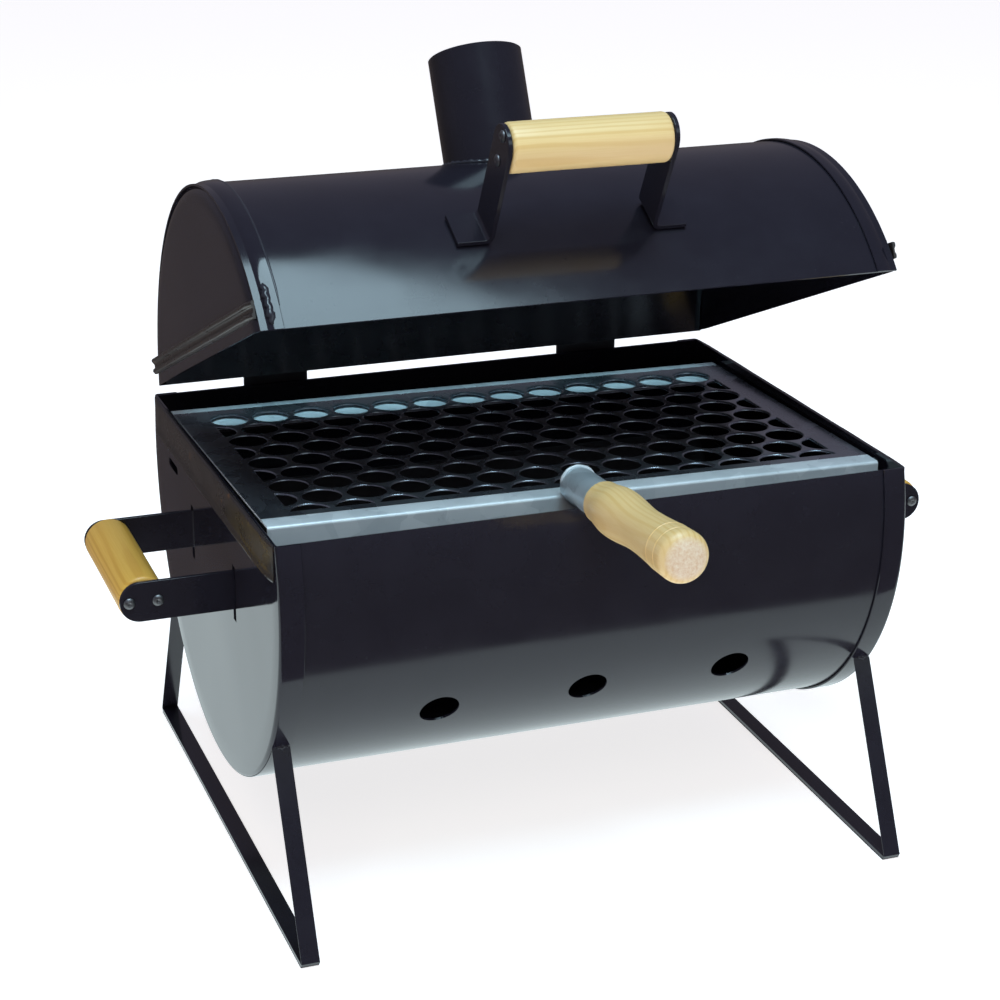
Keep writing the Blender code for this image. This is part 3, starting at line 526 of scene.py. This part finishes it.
def rim_slope():
    """The lower half's rim rises a little towards the front."""
    return (Matrix.Translation((0, 0, RIM_Z)) @ Matrix.Rotation(-RIM_TILT, 4, "X")
            @ Matrix.Translation((0, 0, -RIM_Z)))


def handle_notch():
    """Notch in the front rim for the ferrule of the grate's handle."""
    notch = rod(5.0, 60.0, 13.2, 64)
    notch.transform(Matrix.Rotation(-GRATE_HANDLE_LIFT, 4, "Y"))
    notch.transform(Matrix.Rotation(math.radians(-90), 4, "Z"))
    notch.transform(Matrix.Translation(GRATE_HANDLE))
    return notch


def air_hole(x):
    hole = rod(-15.0, 15.0, 14.0, 48)
    hole.transform(Matrix.Rotation(math.radians(-90), 4, "Z"))
    hole.transform(Matrix.Translation((0, -R_SHELL, 0)))
    hole.transform(Matrix.Rotation(math.radians(32.0), 4, "X"))
    hole.transform(Matrix.Translation((x, 0, AXIS_Z)))
    return hole


def end_cap(name, side, centre_z, rim_z, lower, place, body, node, cutters, materials, corner=3.0):
    """Pressed end: flat face, small rounded corner, skirt over the shell; cut off at the rim."""
    face = [(HALF, 0.0), (HALF, 60.0), (HALF, 120.0), (HALF, 160.0), (HALF, R_OUT - corner)]
    for along, radius in arc_points((HALF - corner, R_OUT - corner), corner, 0, 90, 6)[1:]:
        face.append((along, radius))
    inner = R_OUT - SHEET
    lip = HALF - SKIRT
    face += [(lip + 0.4, R_OUT), (lip, R_OUT - 0.4), (lip, inner + 0.3), (lip + 0.3, inner)]
    for along, radius in arc_points((HALF - corner, R_OUT - corner), corner - SHEET, 90, 0, 4):
        face.append((along, radius))
    face += [(HALF - SHEET, 120.0), (HALF - SHEET, 60.0), (HALF - SHEET, 0.0)]
    mesh_data = turned([(side * along, radius) for along, radius in face], 192)
    mesh_data.transform(Matrix.Translation((0, 0, centre_z)))
    piece = new_object(name, mesh_data, place, materials, body, [node])
    reach = 400
    low, high = (rim_z, rim_z + reach) if lower else (rim_z - reach, rim_z)
    rim_cut = box((-reach, -reach, low), (reach, reach, high))
    if lower:
        rim_cut.transform(rim_slope())
    cut(piece, rim_cut)
    for cutter in cutters:
        cut(piece, cutter)
    return smooth_again(piece, 30.0)


def strip(section, y_low, y_high, columns, dent=0.0, seed=0.0):
    """A folded strip along Y whose section can wander a little, as bent sheet does."""
    mesh_data = bmesh.new()
    rings = []
    for column in range(columns):
        share = column / (columns - 1)
        y = y_low + (y_high - y_low) * share
        ring = []
        for index, (x, z) in enumerate(section):
            outer = min(1.0, max(0.0, abs(x) - HALF) / 2.5)
            push = dent * outer * math.sin(share * 23.0 + seed + index * 0.15)
            ring.append(mesh_data.verts.new((x + math.copysign(push, x), y, z + 0.4 * push)))
        rings.append(ring)
    count = len(section)
    for first, second in zip(rings, rings[1:]):
        for index in range(count):
            after = (index + 1) % count
            mesh_data.faces.new((first[index], first[after], second[after], second[index]))
    mesh_data.faces.new(rings[0])
    mesh_data.faces.new(list(reversed(rings[-1])))
    return mesh_data


def body_hem(side):
    inside = HALF + 0.9
    outside = inside + SHEET
    top, bottom = RIM_Z, RIM_Z - HEM_HEIGHT
    section = [(HALF - 1.2, top - 8.0), (HALF - 1.2, top - 1.0)]
    section += arc_points((HALF + 0.6, top - 1.8), 1.8, 180, 90, 4)
    section += arc_points((outside - 1.8, top - 1.8), 1.8, 90, 0, 4)
    section += [(outside, top - 6), (outside, top - 12), (outside, top - 18), (outside + 0.1, bottom + 5.0)]
    section += [(outside + 0.6, bottom + 3.2), (outside + 1.4, bottom + 1.6), (outside + 1.5, bottom + 0.7),
                (outside + 0.9, bottom), (outside - 0.2, bottom + 0.3), (inside, bottom + 2.4)]
    section += [(inside, bottom + 5.0), (inside, top - 3.2), (HALF, top - 3.2), (HALF, top - 8.0)]
    return [(side * x, z) for x, z in section]


def lid_band(side):
    """Two rolled ridges along the foot of a lid end, above a plain lip."""
    foot = LID_RIM_Z + 9.0
    top = foot + 10.0
    section = [(HALF - 0.8, foot - 0.8), (HALF + 1.0, foot - 0.7)]
    section += arc_points((HALF + 1.9, foot + 1.2), 1.8, -80, 80, 8)
    section += [(HALF + 1.0, foot + 3.8), (HALF + 1.0, top - 3.8)]
    section += arc_points((HALF + 1.9, top - 1.2), 1.8, -80, 80, 8)
    section += [(HALF + 0.6, top + 0.7), (HALF - 0.8, top + 0.8)]
    return [(side * x, z) for x, z in section]


def taper_ends(mesh_data, y_low, y_high, length, x_root):
    """Let a strip die away into the plate over its last few millimetres."""
    for vert in mesh_data.verts:
        edge = min(vert.co.y - y_low, y_high - vert.co.y)
        if edge < length:
            share = max(0.0, edge / length)
            side = math.copysign(1, vert.co.x)
            stand_out = abs(vert.co.x) - x_root
            if stand_out > 0:
                vert.co.x = side * (x_root + stand_out * (0.35 + 0.65 * share))
    return mesh_data


def make_barrel():
    rolled_sheet("barrel_sheet", AXIS_Z, RIM_Z, True, BARREL, "barrel", "body_shell",
                 [air_hole(x) for x in AIR_HOLE_PLACES] + [handle_notch()])
    for side, word in ((-1, "left"), (1, "right")):
        cutters = []
        for place in (-1, 1):
            above = 3.0 if side < 0 else 0.4
            y = place * SIDE_BAR_Y
            low = (side * HALF - 8, y - 3.6, SIDE_GRIP_Z - BAR_WIDTH / 2 - 9.0)
            high = (side * HALF + 8, y + 3.6, SIDE_GRIP_Z + BAR_WIDTH / 2 + above)
            cutters.append(box(low, high))
        if side < 0:
            slit = arc_points((SLIT_REAR, SLIT_Z), SLIT_ROUND, -90, 90, 8)
            slit += arc_points((SLIT_FRONT, SLIT_Z), SLIT_ROUND, 90, 270, 8)
            cutters.append(prism(slit, "x", -HALF - 8, -HALF + 8))
        end_cap("barrel_end_" + word, side, AXIS_Z, RIM_Z, True, BARREL, "barrel",
                "body_end_" + word, cutters, [PLATE])
        hem = strip(body_hem(side), -HEM_HALF, HEM_HALF, 41, 0.25, side)
        hem = taper_ends(hem, -HEM_HALF, HEM_HALF, 14.0, HALF)
        hem.transform(rim_slope())
        new_object("barrel_hem_" + word, hem, BARREL, [HEM], "barrel", angle=50.0)


def chimney_place():
    foot_angle = math.asin(CHIMNEY_Y / R_SHELL)
    to_foot = Vector((0, CHIMNEY_Y, R_SHELL * math.cos(foot_angle)))
    return (Matrix.Translation((0, 0, LID_C)) @ Matrix.Translation(to_foot)
            @ Matrix.Rotation(-CHIMNEY_LEAN, 4, "X") @ Matrix.Translation((0, 0, -R_SHELL)))


def make_lid():
    draught = rod(-30.0, 30.0, 30.2, 64)
    draught.transform(Matrix.Rotation(math.radians(-90), 4, "Y"))
    draught.transform(Matrix.Translation((0, 0, R_SHELL)))
    draught.transform(chimney_place())
    rolled_sheet("lid_sheet", LID_C, LID_RIM_Z, False, LID, "lid", "lid_shell", [draught])
    for side, word in ((-1, "left"), (1, "right")):
        end_cap("lid_cap_" + word, side, LID_C, LID_RIM_Z, False, LID, "lid",
                "lid_end_" + word, [], [PLATE], 13.0)
        band = strip(lid_band(side), -BAND_HALF, BAND_HALF, 41, 0.18, side * 2.0)
        band = taper_ends(band, -BAND_HALF, BAND_HALF, 8.0, HALF)
        new_object("lid_band_" + word, band, LID, [HEM], "lid", angle=60.0)


def make_lid_welds():
    """Weld run low on the left skirt at the front, and the joint between that skirt and the sheet."""
    turns = [math.radians(150.5 + 0.75 * step) for step in range(14)]
    points = [(-HALF + 10.0 + 0.7 * math.sin(4.1 * step), (R_OUT - 0.5) * math.cos(turn),
               LID_C + (R_OUT - 0.5) * math.sin(turn)) for step, turn in enumerate(turns)]
    new_object("lid_corner_weld", bead(points, 2.6, sides=16, wobble=0.22), LID, [WELD], "lid", angle=80.0)
    turns = [math.radians(24.0 + 2.0 * step) for step in range(67)]
    points = [(-HALF + SKIRT + GAP, (R_OUT - 0.6) * math.cos(turn), LID_C + (R_OUT - 0.6) * math.sin(turn))
              for turn in turns]
    new_object("lid_seam_left", bead(points, 1.0, wobble=0.1), LID, [WELD], "lid", angle=80.0)


def saddle_radius(turn, radius, place, centre_z, surface):
    """Height along a pipe's own axis where it meets the lid's surface, for one turn round it."""
    low, high = R_SHELL - 30.0, R_SHELL + 30.0
    for _ in range(30):
        middle = (low + high) / 2
        point = place @ Vector((radius * math.cos(turn), radius * math.sin(turn), middle))
        if math.hypot(point.y, point.z - centre_z) > surface:
            high = middle
        else:
            low = middle
    return (low + high) / 2


def make_chimney():
    place = chimney_place()
    outer, wall = CHIMNEY_RADIUS, CHIMNEY_WALL
    top = R_SHELL + CHIMNEY_RISE
    segments = 96
    mesh_data = bmesh.new()
    rings = []
    levels = [("out", 0.0), ("out", 0.35), ("out", 0.7), ("out", 1.0), ("rim", 1.0), ("in", 1.0), ("in", 0.0)]
    for kind, share in levels:
        ring = []
        for step in range(segments):
            turn = 2 * math.pi * step / segments
            foot = saddle_radius(turn, outer, place, LID_C, R_SHELL + 0.5)
            radius = outer if kind == "out" else outer - wall if kind == "in" else outer - wall / 2
            height = foot + (top - foot) * share
            if kind != "rim" and share == 1.0:
                height -= 0.6
            ring.append(mesh_data.verts.new((radius * math.cos(turn), radius * math.sin(turn), height)))
        rings.append(ring)
    for first, second in zip(rings, rings[1:] + rings[:1]):
        for step in range(segments):
            after = (step + 1) % segments
            mesh_data.faces.new((first[step], first[after], second[after], second[step]))
    new_object("chimney", mesh_data, LID @ place, [PAINT], "lid", ["chimney_pipe"], 50.0)
    points = []
    for step in range(121):
        turn = 2 * math.pi * step / 120
        foot = saddle_radius(turn, outer + 0.6, place, LID_C, R_SHELL + 0.6)
        points.append(((outer + 0.8) * math.cos(turn), (outer + 0.8) * math.sin(turn), foot))
    turn = math.radians(62)
    tab = box((-9.0, -1.0, 0.0), (9.0, 1.0, 7.0))
    tab.transform(Matrix.Rotation(turn - math.pi / 2, 4, "Z"))
    tab.transform(Matrix.Translation((32.4 * math.cos(turn), 32.4 * math.sin(turn), top - 2.5)))
    add_bevel(new_object("chimney_tab", tab, LID @ place, [SATIN], "lid"), 0.6, 3)
    new_object("chimney_weld", bead(points, 1.7, wobble=0.3), LID @ place, [WELD], "lid", angle=80.0)


# ------------------------------------------------------------------ hinges
def finished(name, material):
    """One of the CAD's own pieces, shown as it is in a better material."""
    node = frame["nodes"][name]
    node.data.materials.clear()
    node.data.materials.append(material)
    return node


def make_hinges():
    for word in ("left", "right"):
        for leaf in ("hinge_leaf_lower_", "hinge_leaf_upper_"):
            node = finished(leaf + word, SATIN)
        finished("hinge_pin_" + word, SCREW)


# ------------------------------------------------------------------ handles
def dowel(name, half_length, place, body, node, material):
    """A dowel cut to length, edges eased; a little out of round so the light moves on it."""
    radius, ease = GRIP_RADIUS, 3.0
    profile = [(-half_length, 0.0), (-half_length, 8.0), (-half_length, radius - ease)]
    profile += [(-half_length + ease + a, radius - ease + b)
                for a, b in arc_points((0, 0), ease, 180, 90, 5)[1:]]
    for share in (-0.6, -0.2, 0.2, 0.6):
        profile.append((share * half_length, radius))
    profile += [(half_length - ease + a, radius - ease + b)
                for a, b in arc_points((0, 0), ease, 90, 0, 5)]
    profile += [(half_length, 8.0), (half_length, 0.0)]
    mesh_data = turned(profile, 64)
    for vert in mesh_data.verts:
        wander = 1 + 0.006 * math.sin(3 * math.atan2(vert.co.z, vert.co.y) + vert.co.x * 0.05)
        vert.co.y *= wander
        vert.co.z *= wander
    return new_object(name, mesh_data, place, [material], body, [node], 40.0)


def flat_bar(name, side, half_span, reach, foot_side, place, body, node):
    """Flat bar with a round end and its foot bent over on a real radius."""
    thick, bend = BAR_THICK, 3.0
    half = BAR_WIDTH / 2
    tip = half + 2.0
    outward = side * foot_side
    near = side * half_span - outward * thick / 2
    foot_z = -reach
    bend_centre = (near + outward * (thick + bend), foot_z + thick + bend)
    profile_outer = [(near, tip - half), (near, foot_z + thick + bend)]
    profile_inner = [(near + outward * thick, tip - half), (near + outward * thick, foot_z + thick + bend)]
    for step in range(1, 9):
        turn = math.radians(90 * step / 8)
        profile_outer.append((bend_centre[0] - outward * (bend + thick) * math.cos(turn),
                              bend_centre[1] - (bend + thick) * math.sin(turn)))
        profile_inner.append((bend_centre[0] - outward * bend * math.cos(turn),
                              bend_centre[1] - bend * math.sin(turn)))
    far = near + outward * (FOOT_LENGTH + thick)
    profile_outer.append((far, foot_z))
    profile_inner.append((far, foot_z + thick))
    ring = profile_outer + list(reversed(profile_inner))
    prism_data = bmesh.new()
    low = [prism_data.verts.new((x, -half, z)) for x, z in ring]
    high = [prism_data.verts.new((x, half, z)) for x, z in ring]
    count = len(profile_outer)
    for index in range(len(ring) - 1):
        prism_data.faces.new((low[index + 1], low[index], high[index], high[index + 1]))
    for level in (low, high):
        for index in range(count - 1):
            prism_data.faces.new((level[index], level[index + 1], level[2 * count - 2 - index],
                                  level[2 * count - 1 - index]))
    tip_points = arc_points((0.0, tip - half), half, 180, 0, 24)
    face_a = [low[0]] + [None] * (len(tip_points) - 2) + [high[0]]
    face_b = [low[-1]] + [None] * (len(tip_points) - 2) + [high[-1]]
    for index in range(1, len(tip_points) - 1):
        y, z = tip_points[index]
        face_a[index] = prism_data.verts.new((near, y, z))
        face_b[index] = prism_data.verts.new((near + outward * thick, y, z))
    for index in range(len(tip_points) - 1):
        prism_data.faces.new((face_a[index], face_a[index + 1], face_b[index + 1], face_b[index]))
    prism_data.faces.new(face_a)
    prism_data.faces.new(list(reversed(face_b)))
    piece = new_object(name, prism_data, place, [PAINT], body, [node], 35.0)
    add_bevel(piece, 0.5, 2, 50.0)
    return piece


def screw(name, side, half_span, offset, place, body, node):
    """Round head, slightly flattened, with a shallow dimple."""
    start = half_span + 1.6
    profile = [(start - 16.0, 0.0), (start - 16.0, 2.1), (start, 2.1), (start + 0.05, 4.0),
               (start + 0.5, 3.95),
               (start + 0.95, 3.6), (start + 1.35, 2.9), (start + 1.6, 1.9), (start + 1.6, 1.3),
               (start + 1.2, 0.9), (start + 1.1, 0.0)]
    mesh_data = turned([(side * along, radius) for along, radius in profile], 32)
    mesh_data.transform(Matrix.Translation((0, 0, offset)))
    return new_object(name, mesh_data, place, [SCREW], body, [node], 60.0)


def make_handle(place, body, grip, bars, half_span, reach, foot_side, screws):
    wood = WOOD if body == "lid" else WOOD_DEEP
    dowel(grip + "_dowel", half_span - BAR_THICK / 2 - GAP, place, body, grip, wood)
    for side, bar in zip((-1, 1), bars):
        flat_bar(bar + "_strip", side, half_span, reach, foot_side, place, body, bar)
        for word, offset in ((screws[1][0], SCREW_OFFSET), (screws[1][1], -SCREW_OFFSET)):
            node = screws[0] % (screws[2][0 if side < 0 else 1], word)
            screw(node + "_head", side, half_span, offset, place, body, node)


def make_handles():
    for side, word in ((-1, "left"), (1, "right")):
        outward = Vector((side, 0, 0))
        along = Vector((0, 1, 0))
        across = outward.cross(along)
        turn = Matrix((along, across, outward)).transposed().to_4x4()
        place = BARREL @ Matrix.Translation((side * SIDE_GRIP_X, 0, SIDE_GRIP_Z)) @ turn
        make_handle(place, "barrel", "side_grip_" + word,
                    ["side_bar_%s_front" % word, "side_bar_%s_rear" % word], SIDE_BAR_Y,
                    SIDE_GRIP_X - (HALF - SHEET - GAP - BAR_THICK), -1,
                    ("side_screw_" + word + "_%s_%s", ("outer", "inner"), ("front", "rear")))
    height = R_OUT + 67.0
    turn = math.radians(LID_GRIP_TURN)
    centre = (0, height * math.cos(turn), LID_C + height * math.sin(turn))
    place = LID @ Matrix.Translation(centre) @ Matrix.Rotation(math.radians(LID_GRIP_TURN - 90.0), 4, "X")
    make_handle(place, "lid", "lid_grip", ["lid_bracket_left", "lid_bracket_right"], LID_BRACKET_X,
                height - R_SHELL - GAP, 1,
                ("lid_screw_%s_%s", ("upper", "lower"), ("left", "right")))


# ------------------------------------------------------------------ legs and the bars inside
def make_legs():
    for word in ("left", "right"):
        node = finished("leg_frame_" + word, PAINT)
        add_bevel(node, 0.7, 3, 12.0)
        for place, name in ((-1, "front"), (1, "rear")):
            low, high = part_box("leg_frame_" + word)
            x_low, x_high = low.x / MM, high.x / MM
            y = place * 142.6
            z = 133.4
            points = []
            for step in range(13):
                share = step / 12
                lump = math.sin(share * 9.0 + place)
                points.append((x_low + (x_high - x_low) * share, y - place * 1.2 + 0.4 * lump, z - 0.6))
            new_object("leg_weld_%s_%s" % (word, name), bead(points, 2.3, wobble=0.3, seed=place),
                       BARREL, [WELD], "barrel", angle=80.0)
    for name in ("charcoal_tray", "tray_bar_front", "tray_bar_rear", "grate_rest_front", "grate_rest_rear"):
        node = finished(name, SATIN)


# ------------------------------------------------------------------ grate
HOLE_R, PITCH, BACK_ROW, ROWS = 13.5, 31.0, 97.0, 9
LIMIT_X, LIMIT_FRONT = 199.5, -116.0


HOLE_FLARE = ((-2.4, 0.0), (-1.15, 0.0), (-0.75, 0.12), (-0.4, 0.42), (-0.15, 0.9), (0.02, 1.6), (4.0, 1.6))


def hole_ring(x, y, grow):
    ring = []
    for px, py in arc_points((x, y), HOLE_R + grow, 0, 348.75, 31):
        ring.append((max(-LIMIT_X - grow, min(LIMIT_X + grow, px)), max(LIMIT_FRONT - grow, py)))
    return ring


def hole_tool():
    """Cutters for every hole, flared where the punch has drawn the sheet's surface down."""
    tool = bmesh.new()
    row_pitch = PITCH * math.sin(math.radians(60))
    for row in range(ROWS):
        y = BACK_ROW - row * row_pitch
        count = 13 if row % 2 == 0 else 14
        for number in range(count):
            x = (number - (count - 1) / 2) * PITCH
            rings = []
            for z, grow in HOLE_FLARE:
                rings.append([tool.verts.new((px, py, z)) for px, py in hole_ring(x, y, grow)])
            steps = len(rings[0])
            for low, high in zip(rings, rings[1:]):
                for index in range(steps):
                    after = (index + 1) % steps
                    tool.faces.new((low[index], low[after], high[after], high[index]))
            tool.faces.new(list(reversed(rings[0])))
            tool.faces.new(rings[-1])
    bmesh.ops.remove_doubles(tool, verts=tool.verts, dist=0.001)
    return tool


def flat_normals(piece):
    """Keep the sheet's flat faces truly flat where they meet the rounded hole edges."""
    mesh = piece.data
    normals = [(0.0, 0.0, 0.0)] * len(mesh.loops)
    for polygon in mesh.polygons:
        if abs(polygon.normal.z) > 0.9995 or abs(polygon.normal.y) > 0.9995:
            for loop_index in polygon.loop_indices:
                normals[loop_index] = tuple(polygon.normal)
    mesh.normals_split_custom_set(normals)
    return piece


def grate_painted_light_index(point):
    """Which material a face of the grate shows: 1 for the pale zinc copy with painted light on the front and
    rear strips and the faces hanging below the sheet, 0 for the plain zinc of the middle.
    """
    return 1 if point.y < PAINTED_LIT_FRONT or point.z < -2.5 or point.y > PAINTED_LIT_REAR else 0


def make_grate():
    place = (BARREL @ Matrix.Translation((0, 0, GRATE_Z)) @ Matrix.Rotation(GRATE_ROLL, 4, "Y")
             @ Matrix.Rotation(GRATE_PITCH, 4, "X"))
    front, back, sheet = GRATE_FRONT, GRATE_BACK, SHEET
    bend, fold, reach = 2.2, 5.0, 43.0
    section = [(front, -14.0), (front, -bend)]
    section += arc_points((front + bend, -bend), bend, 180, 90, 6)[1:]
    section += [(PAINTED_LIT_FRONT, 0.0), (PAINTED_LIT_REAR, 0.0)]
    section += arc_points((back - fold / 2, -fold / 2), fold / 2, 90, -90, 12)
    section += [(back - reach, -fold), (back - reach, sheet - fold)]
    section += arc_points((back - fold / 2, -fold / 2), fold / 2 - sheet, -90, 90, 8)
    section += [(PAINTED_LIT_REAR, -sheet), (PAINTED_LIT_FRONT, -sheet)]
    section += arc_points((front + bend, -bend), bend - sheet, 90, 180, 4)
    section += [(front + sheet, -14.0)]
    sheet_data = prism(section, "x", GRATE_LEFT, GRATE_RIGHT)
    # The front and rear strips and the flanges get the pale copy with painted light; the middle keeps the
    # plain zinc.
    for face in sheet_data.faces:
        face.material_index = grate_painted_light_index(face.calc_center_median())
    piece = new_object("grate_plate", sheet_data, place, [ZINC, ZINC_PAINTED_LIT], "grate", ["grate_sheet"], 30.0)
    cut(piece, hole_tool())
    smooth_again(piece, 40.0)
    flat_normals(piece)


GRIP_STATIONS = ((0.0, 14.6), (0.2, 17.2), (0.5, 14.8), (0.93, 17.0))


def make_grate_handle():
    place = (BARREL @ Matrix.Translation(GRATE_HANDLE) @ Matrix.Rotation(math.radians(-90), 4, "Z")
             @ Matrix.Rotation(-GRATE_HANDLE_LIFT, 4, "Y"))
    start, end = 0.9, 44.9
    outer, wall = 12.7, 1.5
    profile = [(start, outer - wall), (start, outer), (end - 0.5, outer), (end, outer - 0.5),
               (end, outer - wall + 0.3), (end - 0.3, outer - wall)]
    new_object("ferrule", turned(profile, 64, True), place, [ZINC_PALE], "grate", ["grate_ferrule"], 40.0)
    length, first = 133.0, end + 0.3
    profile = [(0.0, 4.3), (0.0, 12.6), (0.6, 13.4), (1.2, 13.8)]
    for (low, r_low), (high, r_high) in zip(GRIP_STATIONS, GRIP_STATIONS[1:]):
        for step in range(12):
            share = step / 12
            blend = (1 - math.cos(math.pi * share)) / 2
            along = 1.5 + (low + (high - low) * share) * length
            radius = r_low + (r_high - r_low) * blend
            profile.append((along, radius))
    grooves = (length - 26.0, length - 15.0)
    profile = [point for point in profile if all(abs(point[0] - groove) > 1.4 for groove in grooves)]
    for groove in grooves:
        near = min(profile, key=lambda point: abs(point[0] - groove))[1]
        sunk = near - 0.45
        profile += [(groove - 0.7, near), (groove - 0.3, sunk), (groove + 0.3, sunk), (groove + 0.7, near)]
    profile.sort()
    last = GRIP_STATIONS[-1]
    profile = [point for point in profile if point[0] < last[0] * length - 1.0]
    for share in range(9):
        turn = math.radians(90 * share / 8)
        profile.append((last[0] * length + (length - last[0] * length) * math.sin(turn),
                        17.0 - 17.0 * (1 - math.cos(turn)) ** 1.25))
    profile[-1] = (length, 0.0)
    mesh_data = turned([(0.0, 4.3)] + profile[1:], 72)
    mesh_data.transform(Matrix.Translation((first, 0, 0)))
    new_object("grate_handle_grip", mesh_data, place, [WOOD], "grate", ["grate_grip"], 40.0)
    turns = [math.radians(angle) for angle in range(15, 170, 11)]
    points = [(1.2 + 0.5 * math.sin(3 * turn), 12.9 * math.cos(turn), 12.9 * math.sin(turn))
              for turn in turns]
    # The ferrule weld uses the pale zinc copy made for painted light.
    new_object("ferrule_weld", bead(points, 1.2, wobble=0.15), place, [ZINC_PAINTED_LIT], "grate", angle=80.0)
    node = finished("grate_rod", SCREW)


# ------------------------------------------------------------------ stage, light and camera
def make_stage():
    mesh_data = bmesh.new()
    reach = 30.0
    corners = [mesh_data.verts.new((x * reach, y * reach, 0))
               for x, y in ((-1, -1), (1, -1), (1, 1), (-1, 1))]
    mesh_data.faces.new(corners)
    mesh = bpy.data.meshes.new("floor")
    mesh_data.to_mesh(mesh)
    mesh_data.free()
    floor = bpy.data.objects.new("floor", mesh)
    bpy.context.scene.collection.objects.link(floor)
    material, _, _, shader = tree_of("pale_floor")
    shader.inputs["Base Color"].default_value = (0.86, 0.86, 0.86, 1)
    shader.inputs["Roughness"].default_value = 0.9
    shader.inputs["Specular IOR Level"].default_value = 0.0
    shader.inputs["Emission Color"].default_value = (1.0, 0.99, 0.98, 1)
    shader.inputs["Emission Strength"].default_value = 0.75
    mesh.materials.append(material)
    floor.visible_glossy = False
    bpy.context.scene.view_settings.view_transform = "Standard"


def card(name, corners, colour, strength):
    """A studio card that only reflections see."""
    mesh_data = bmesh.new()
    mesh_data.faces.new([mesh_data.verts.new(corner) for corner in corners])
    mesh = bpy.data.meshes.new(name)
    mesh_data.to_mesh(mesh)
    mesh_data.free()
    piece = bpy.data.objects.new(name, mesh)
    bpy.context.scene.collection.objects.link(piece)
    material = bpy.data.materials.new(name)
    material.use_nodes = True
    shader = material.node_tree.nodes["Principled BSDF"]
    shader.inputs["Base Color"].default_value = (0, 0, 0, 1)
    shader.inputs["Specular IOR Level"].default_value = 0.0
    shader.inputs["Emission Color"].default_value = (*colour, 1)
    shader.inputs["Emission Strength"].default_value = strength
    mesh.materials.append(material)
    piece.visible_camera = False
    piece.visible_diffuse = False
    piece.visible_shadow = False
    piece.visible_transmission = False
    return piece


def add_lamp(name, kind, place, power, colour):
    light = bpy.data.lights.new(name, kind)
    light.energy = power
    light.color = colour
    lamp = bpy.data.objects.new(name, light)
    bpy.context.scene.collection.objects.link(lamp)
    lamp.matrix_world = place
    return lamp


def aimed(position, target):
    direction = Vector(target) - Vector(position)
    turn = direction.to_track_quat("-Z", "Y").to_matrix().to_4x4()
    return Matrix.Translation(position) @ turn


def make_light():
    world = bpy.data.worlds.new("studio")
    bpy.context.scene.world = world
    world.use_nodes = True
    nodes, links = world.node_tree.nodes, world.node_tree.links
    background = nodes["Background"]
    source = nodes.new("ShaderNodeTexCoord")
    split = nodes.new("ShaderNodeSeparateXYZ")
    links.new(source.outputs["Generated"], split.inputs["Vector"])
    height = spread(nodes, links, split.outputs["Z"], -1.0, 1.0, 0.0, 1.0)
    sky = ramp(nodes, links, height, [(0.0, (0.07, 0.055, 0.055)), (0.45, (0.10, 0.085, 0.085)),
                                      (0.55, (0.15, 0.135, 0.16)), (1.0, (0.15, 0.14, 0.20))])
    links.new(sky, background.inputs["Color"])
    background.inputs["Strength"].default_value = 1.0
    along = Vector((0.304, -0.953, 0.0))
    across = Vector((-0.953, -0.304, 0.0))
    centre = Vector((0.31, 0.33 + BARREL_Y, 2.45)) + along * 0.85 + across * 0.6
    place = Matrix((along, across, along.cross(across))).transposed().to_4x4()
    if place.col[2].z < 0:
        place = place @ Matrix.Rotation(math.pi, 4, "X")
    place.translation = centre
    panel = add_lamp("panel", "AREA", place, 52.0, (0.62, 0.87, 1.0))
    panel.data.shape = "RECTANGLE"
    panel.data.size = 1.7
    panel.data.size_y = 1.2
    fill = add_lamp("fill", "SUN", aimed((-1.3, -2.4, 2.6), (0, 0, 0.2)), 0.35, (1.0, 0.95, 0.88))
    fill.data.angle = math.radians(25)
    fill.visible_glossy = False
    front, back = -0.31 + BARREL_Y, 0.44 + BARREL_Y
    card("white_table", [(-1.2, front, 0.001), (1.2, front, 0.001), (1.2, back, 0.001), (-1.2, back, 0.001)],
         (0.84, 0.97, 1.0), 1.05)
    over_rear_holes = Matrix.Translation((-0.001, 0.108 + BARREL_Y, 0.335))
    glow = add_lamp("rear_glow", "AREA", over_rear_holes, 0.042, (0.50, 0.84, 1.0))
    glow.data.shape = "RECTANGLE"
    glow.data.size = 0.42
    glow.data.size_y = 0.035
    glow.data.spread = math.radians(60)
    glow.visible_camera = False
    glow.visible_glossy = False
    card("front_window", [(-0.1, -2.6, 1.35), (2.2, -2.6, 1.35), (2.2, -2.6, 2.5), (-0.1, -2.6, 2.5)],
         (0.80, 0.95, 1.0), 1.5)


LENS_LENGTH = 86.267394
CAMERA_ANGLES = (20.48, 20.92, 0.54)        # turned to the right, tipped down, rolled
CAMERA_PLACE = Vector((-0.5816, -1.5309 + BARREL_Y, 0.8559))


def make_camera():
    camera = bpy.data.cameras.new("camera")
    holder = bpy.data.objects.new("camera", camera)
    bpy.context.scene.collection.objects.link(holder)
    camera.sensor_width = 36.0
    camera.lens = LENS_LENGTH
    camera.clip_end = 200.0
    yaw, pitch, roll = (math.radians(angle) for angle in CAMERA_ANGLES)
    forward = Vector((math.sin(yaw) * math.cos(pitch), math.cos(yaw) * math.cos(pitch), -math.sin(pitch)))
    right = Vector((math.cos(yaw), -math.sin(yaw), 0))
    up = right.cross(forward)
    right_2 = right * math.cos(roll) + up * math.sin(roll)
    up_2 = -right * math.sin(roll) + up * math.cos(roll)
    place = Matrix((right_2, up_2, -forward)).transposed().to_4x4()
    place.translation = CAMERA_PLACE
    holder.matrix_world = place
    bpy.context.scene.camera = holder


make_barrel()
make_lid()
make_lid_welds()
make_chimney()
make_hinges()
make_handles()
make_legs()
make_grate()
make_grate_handle()
make_stage()
make_light()
make_camera()
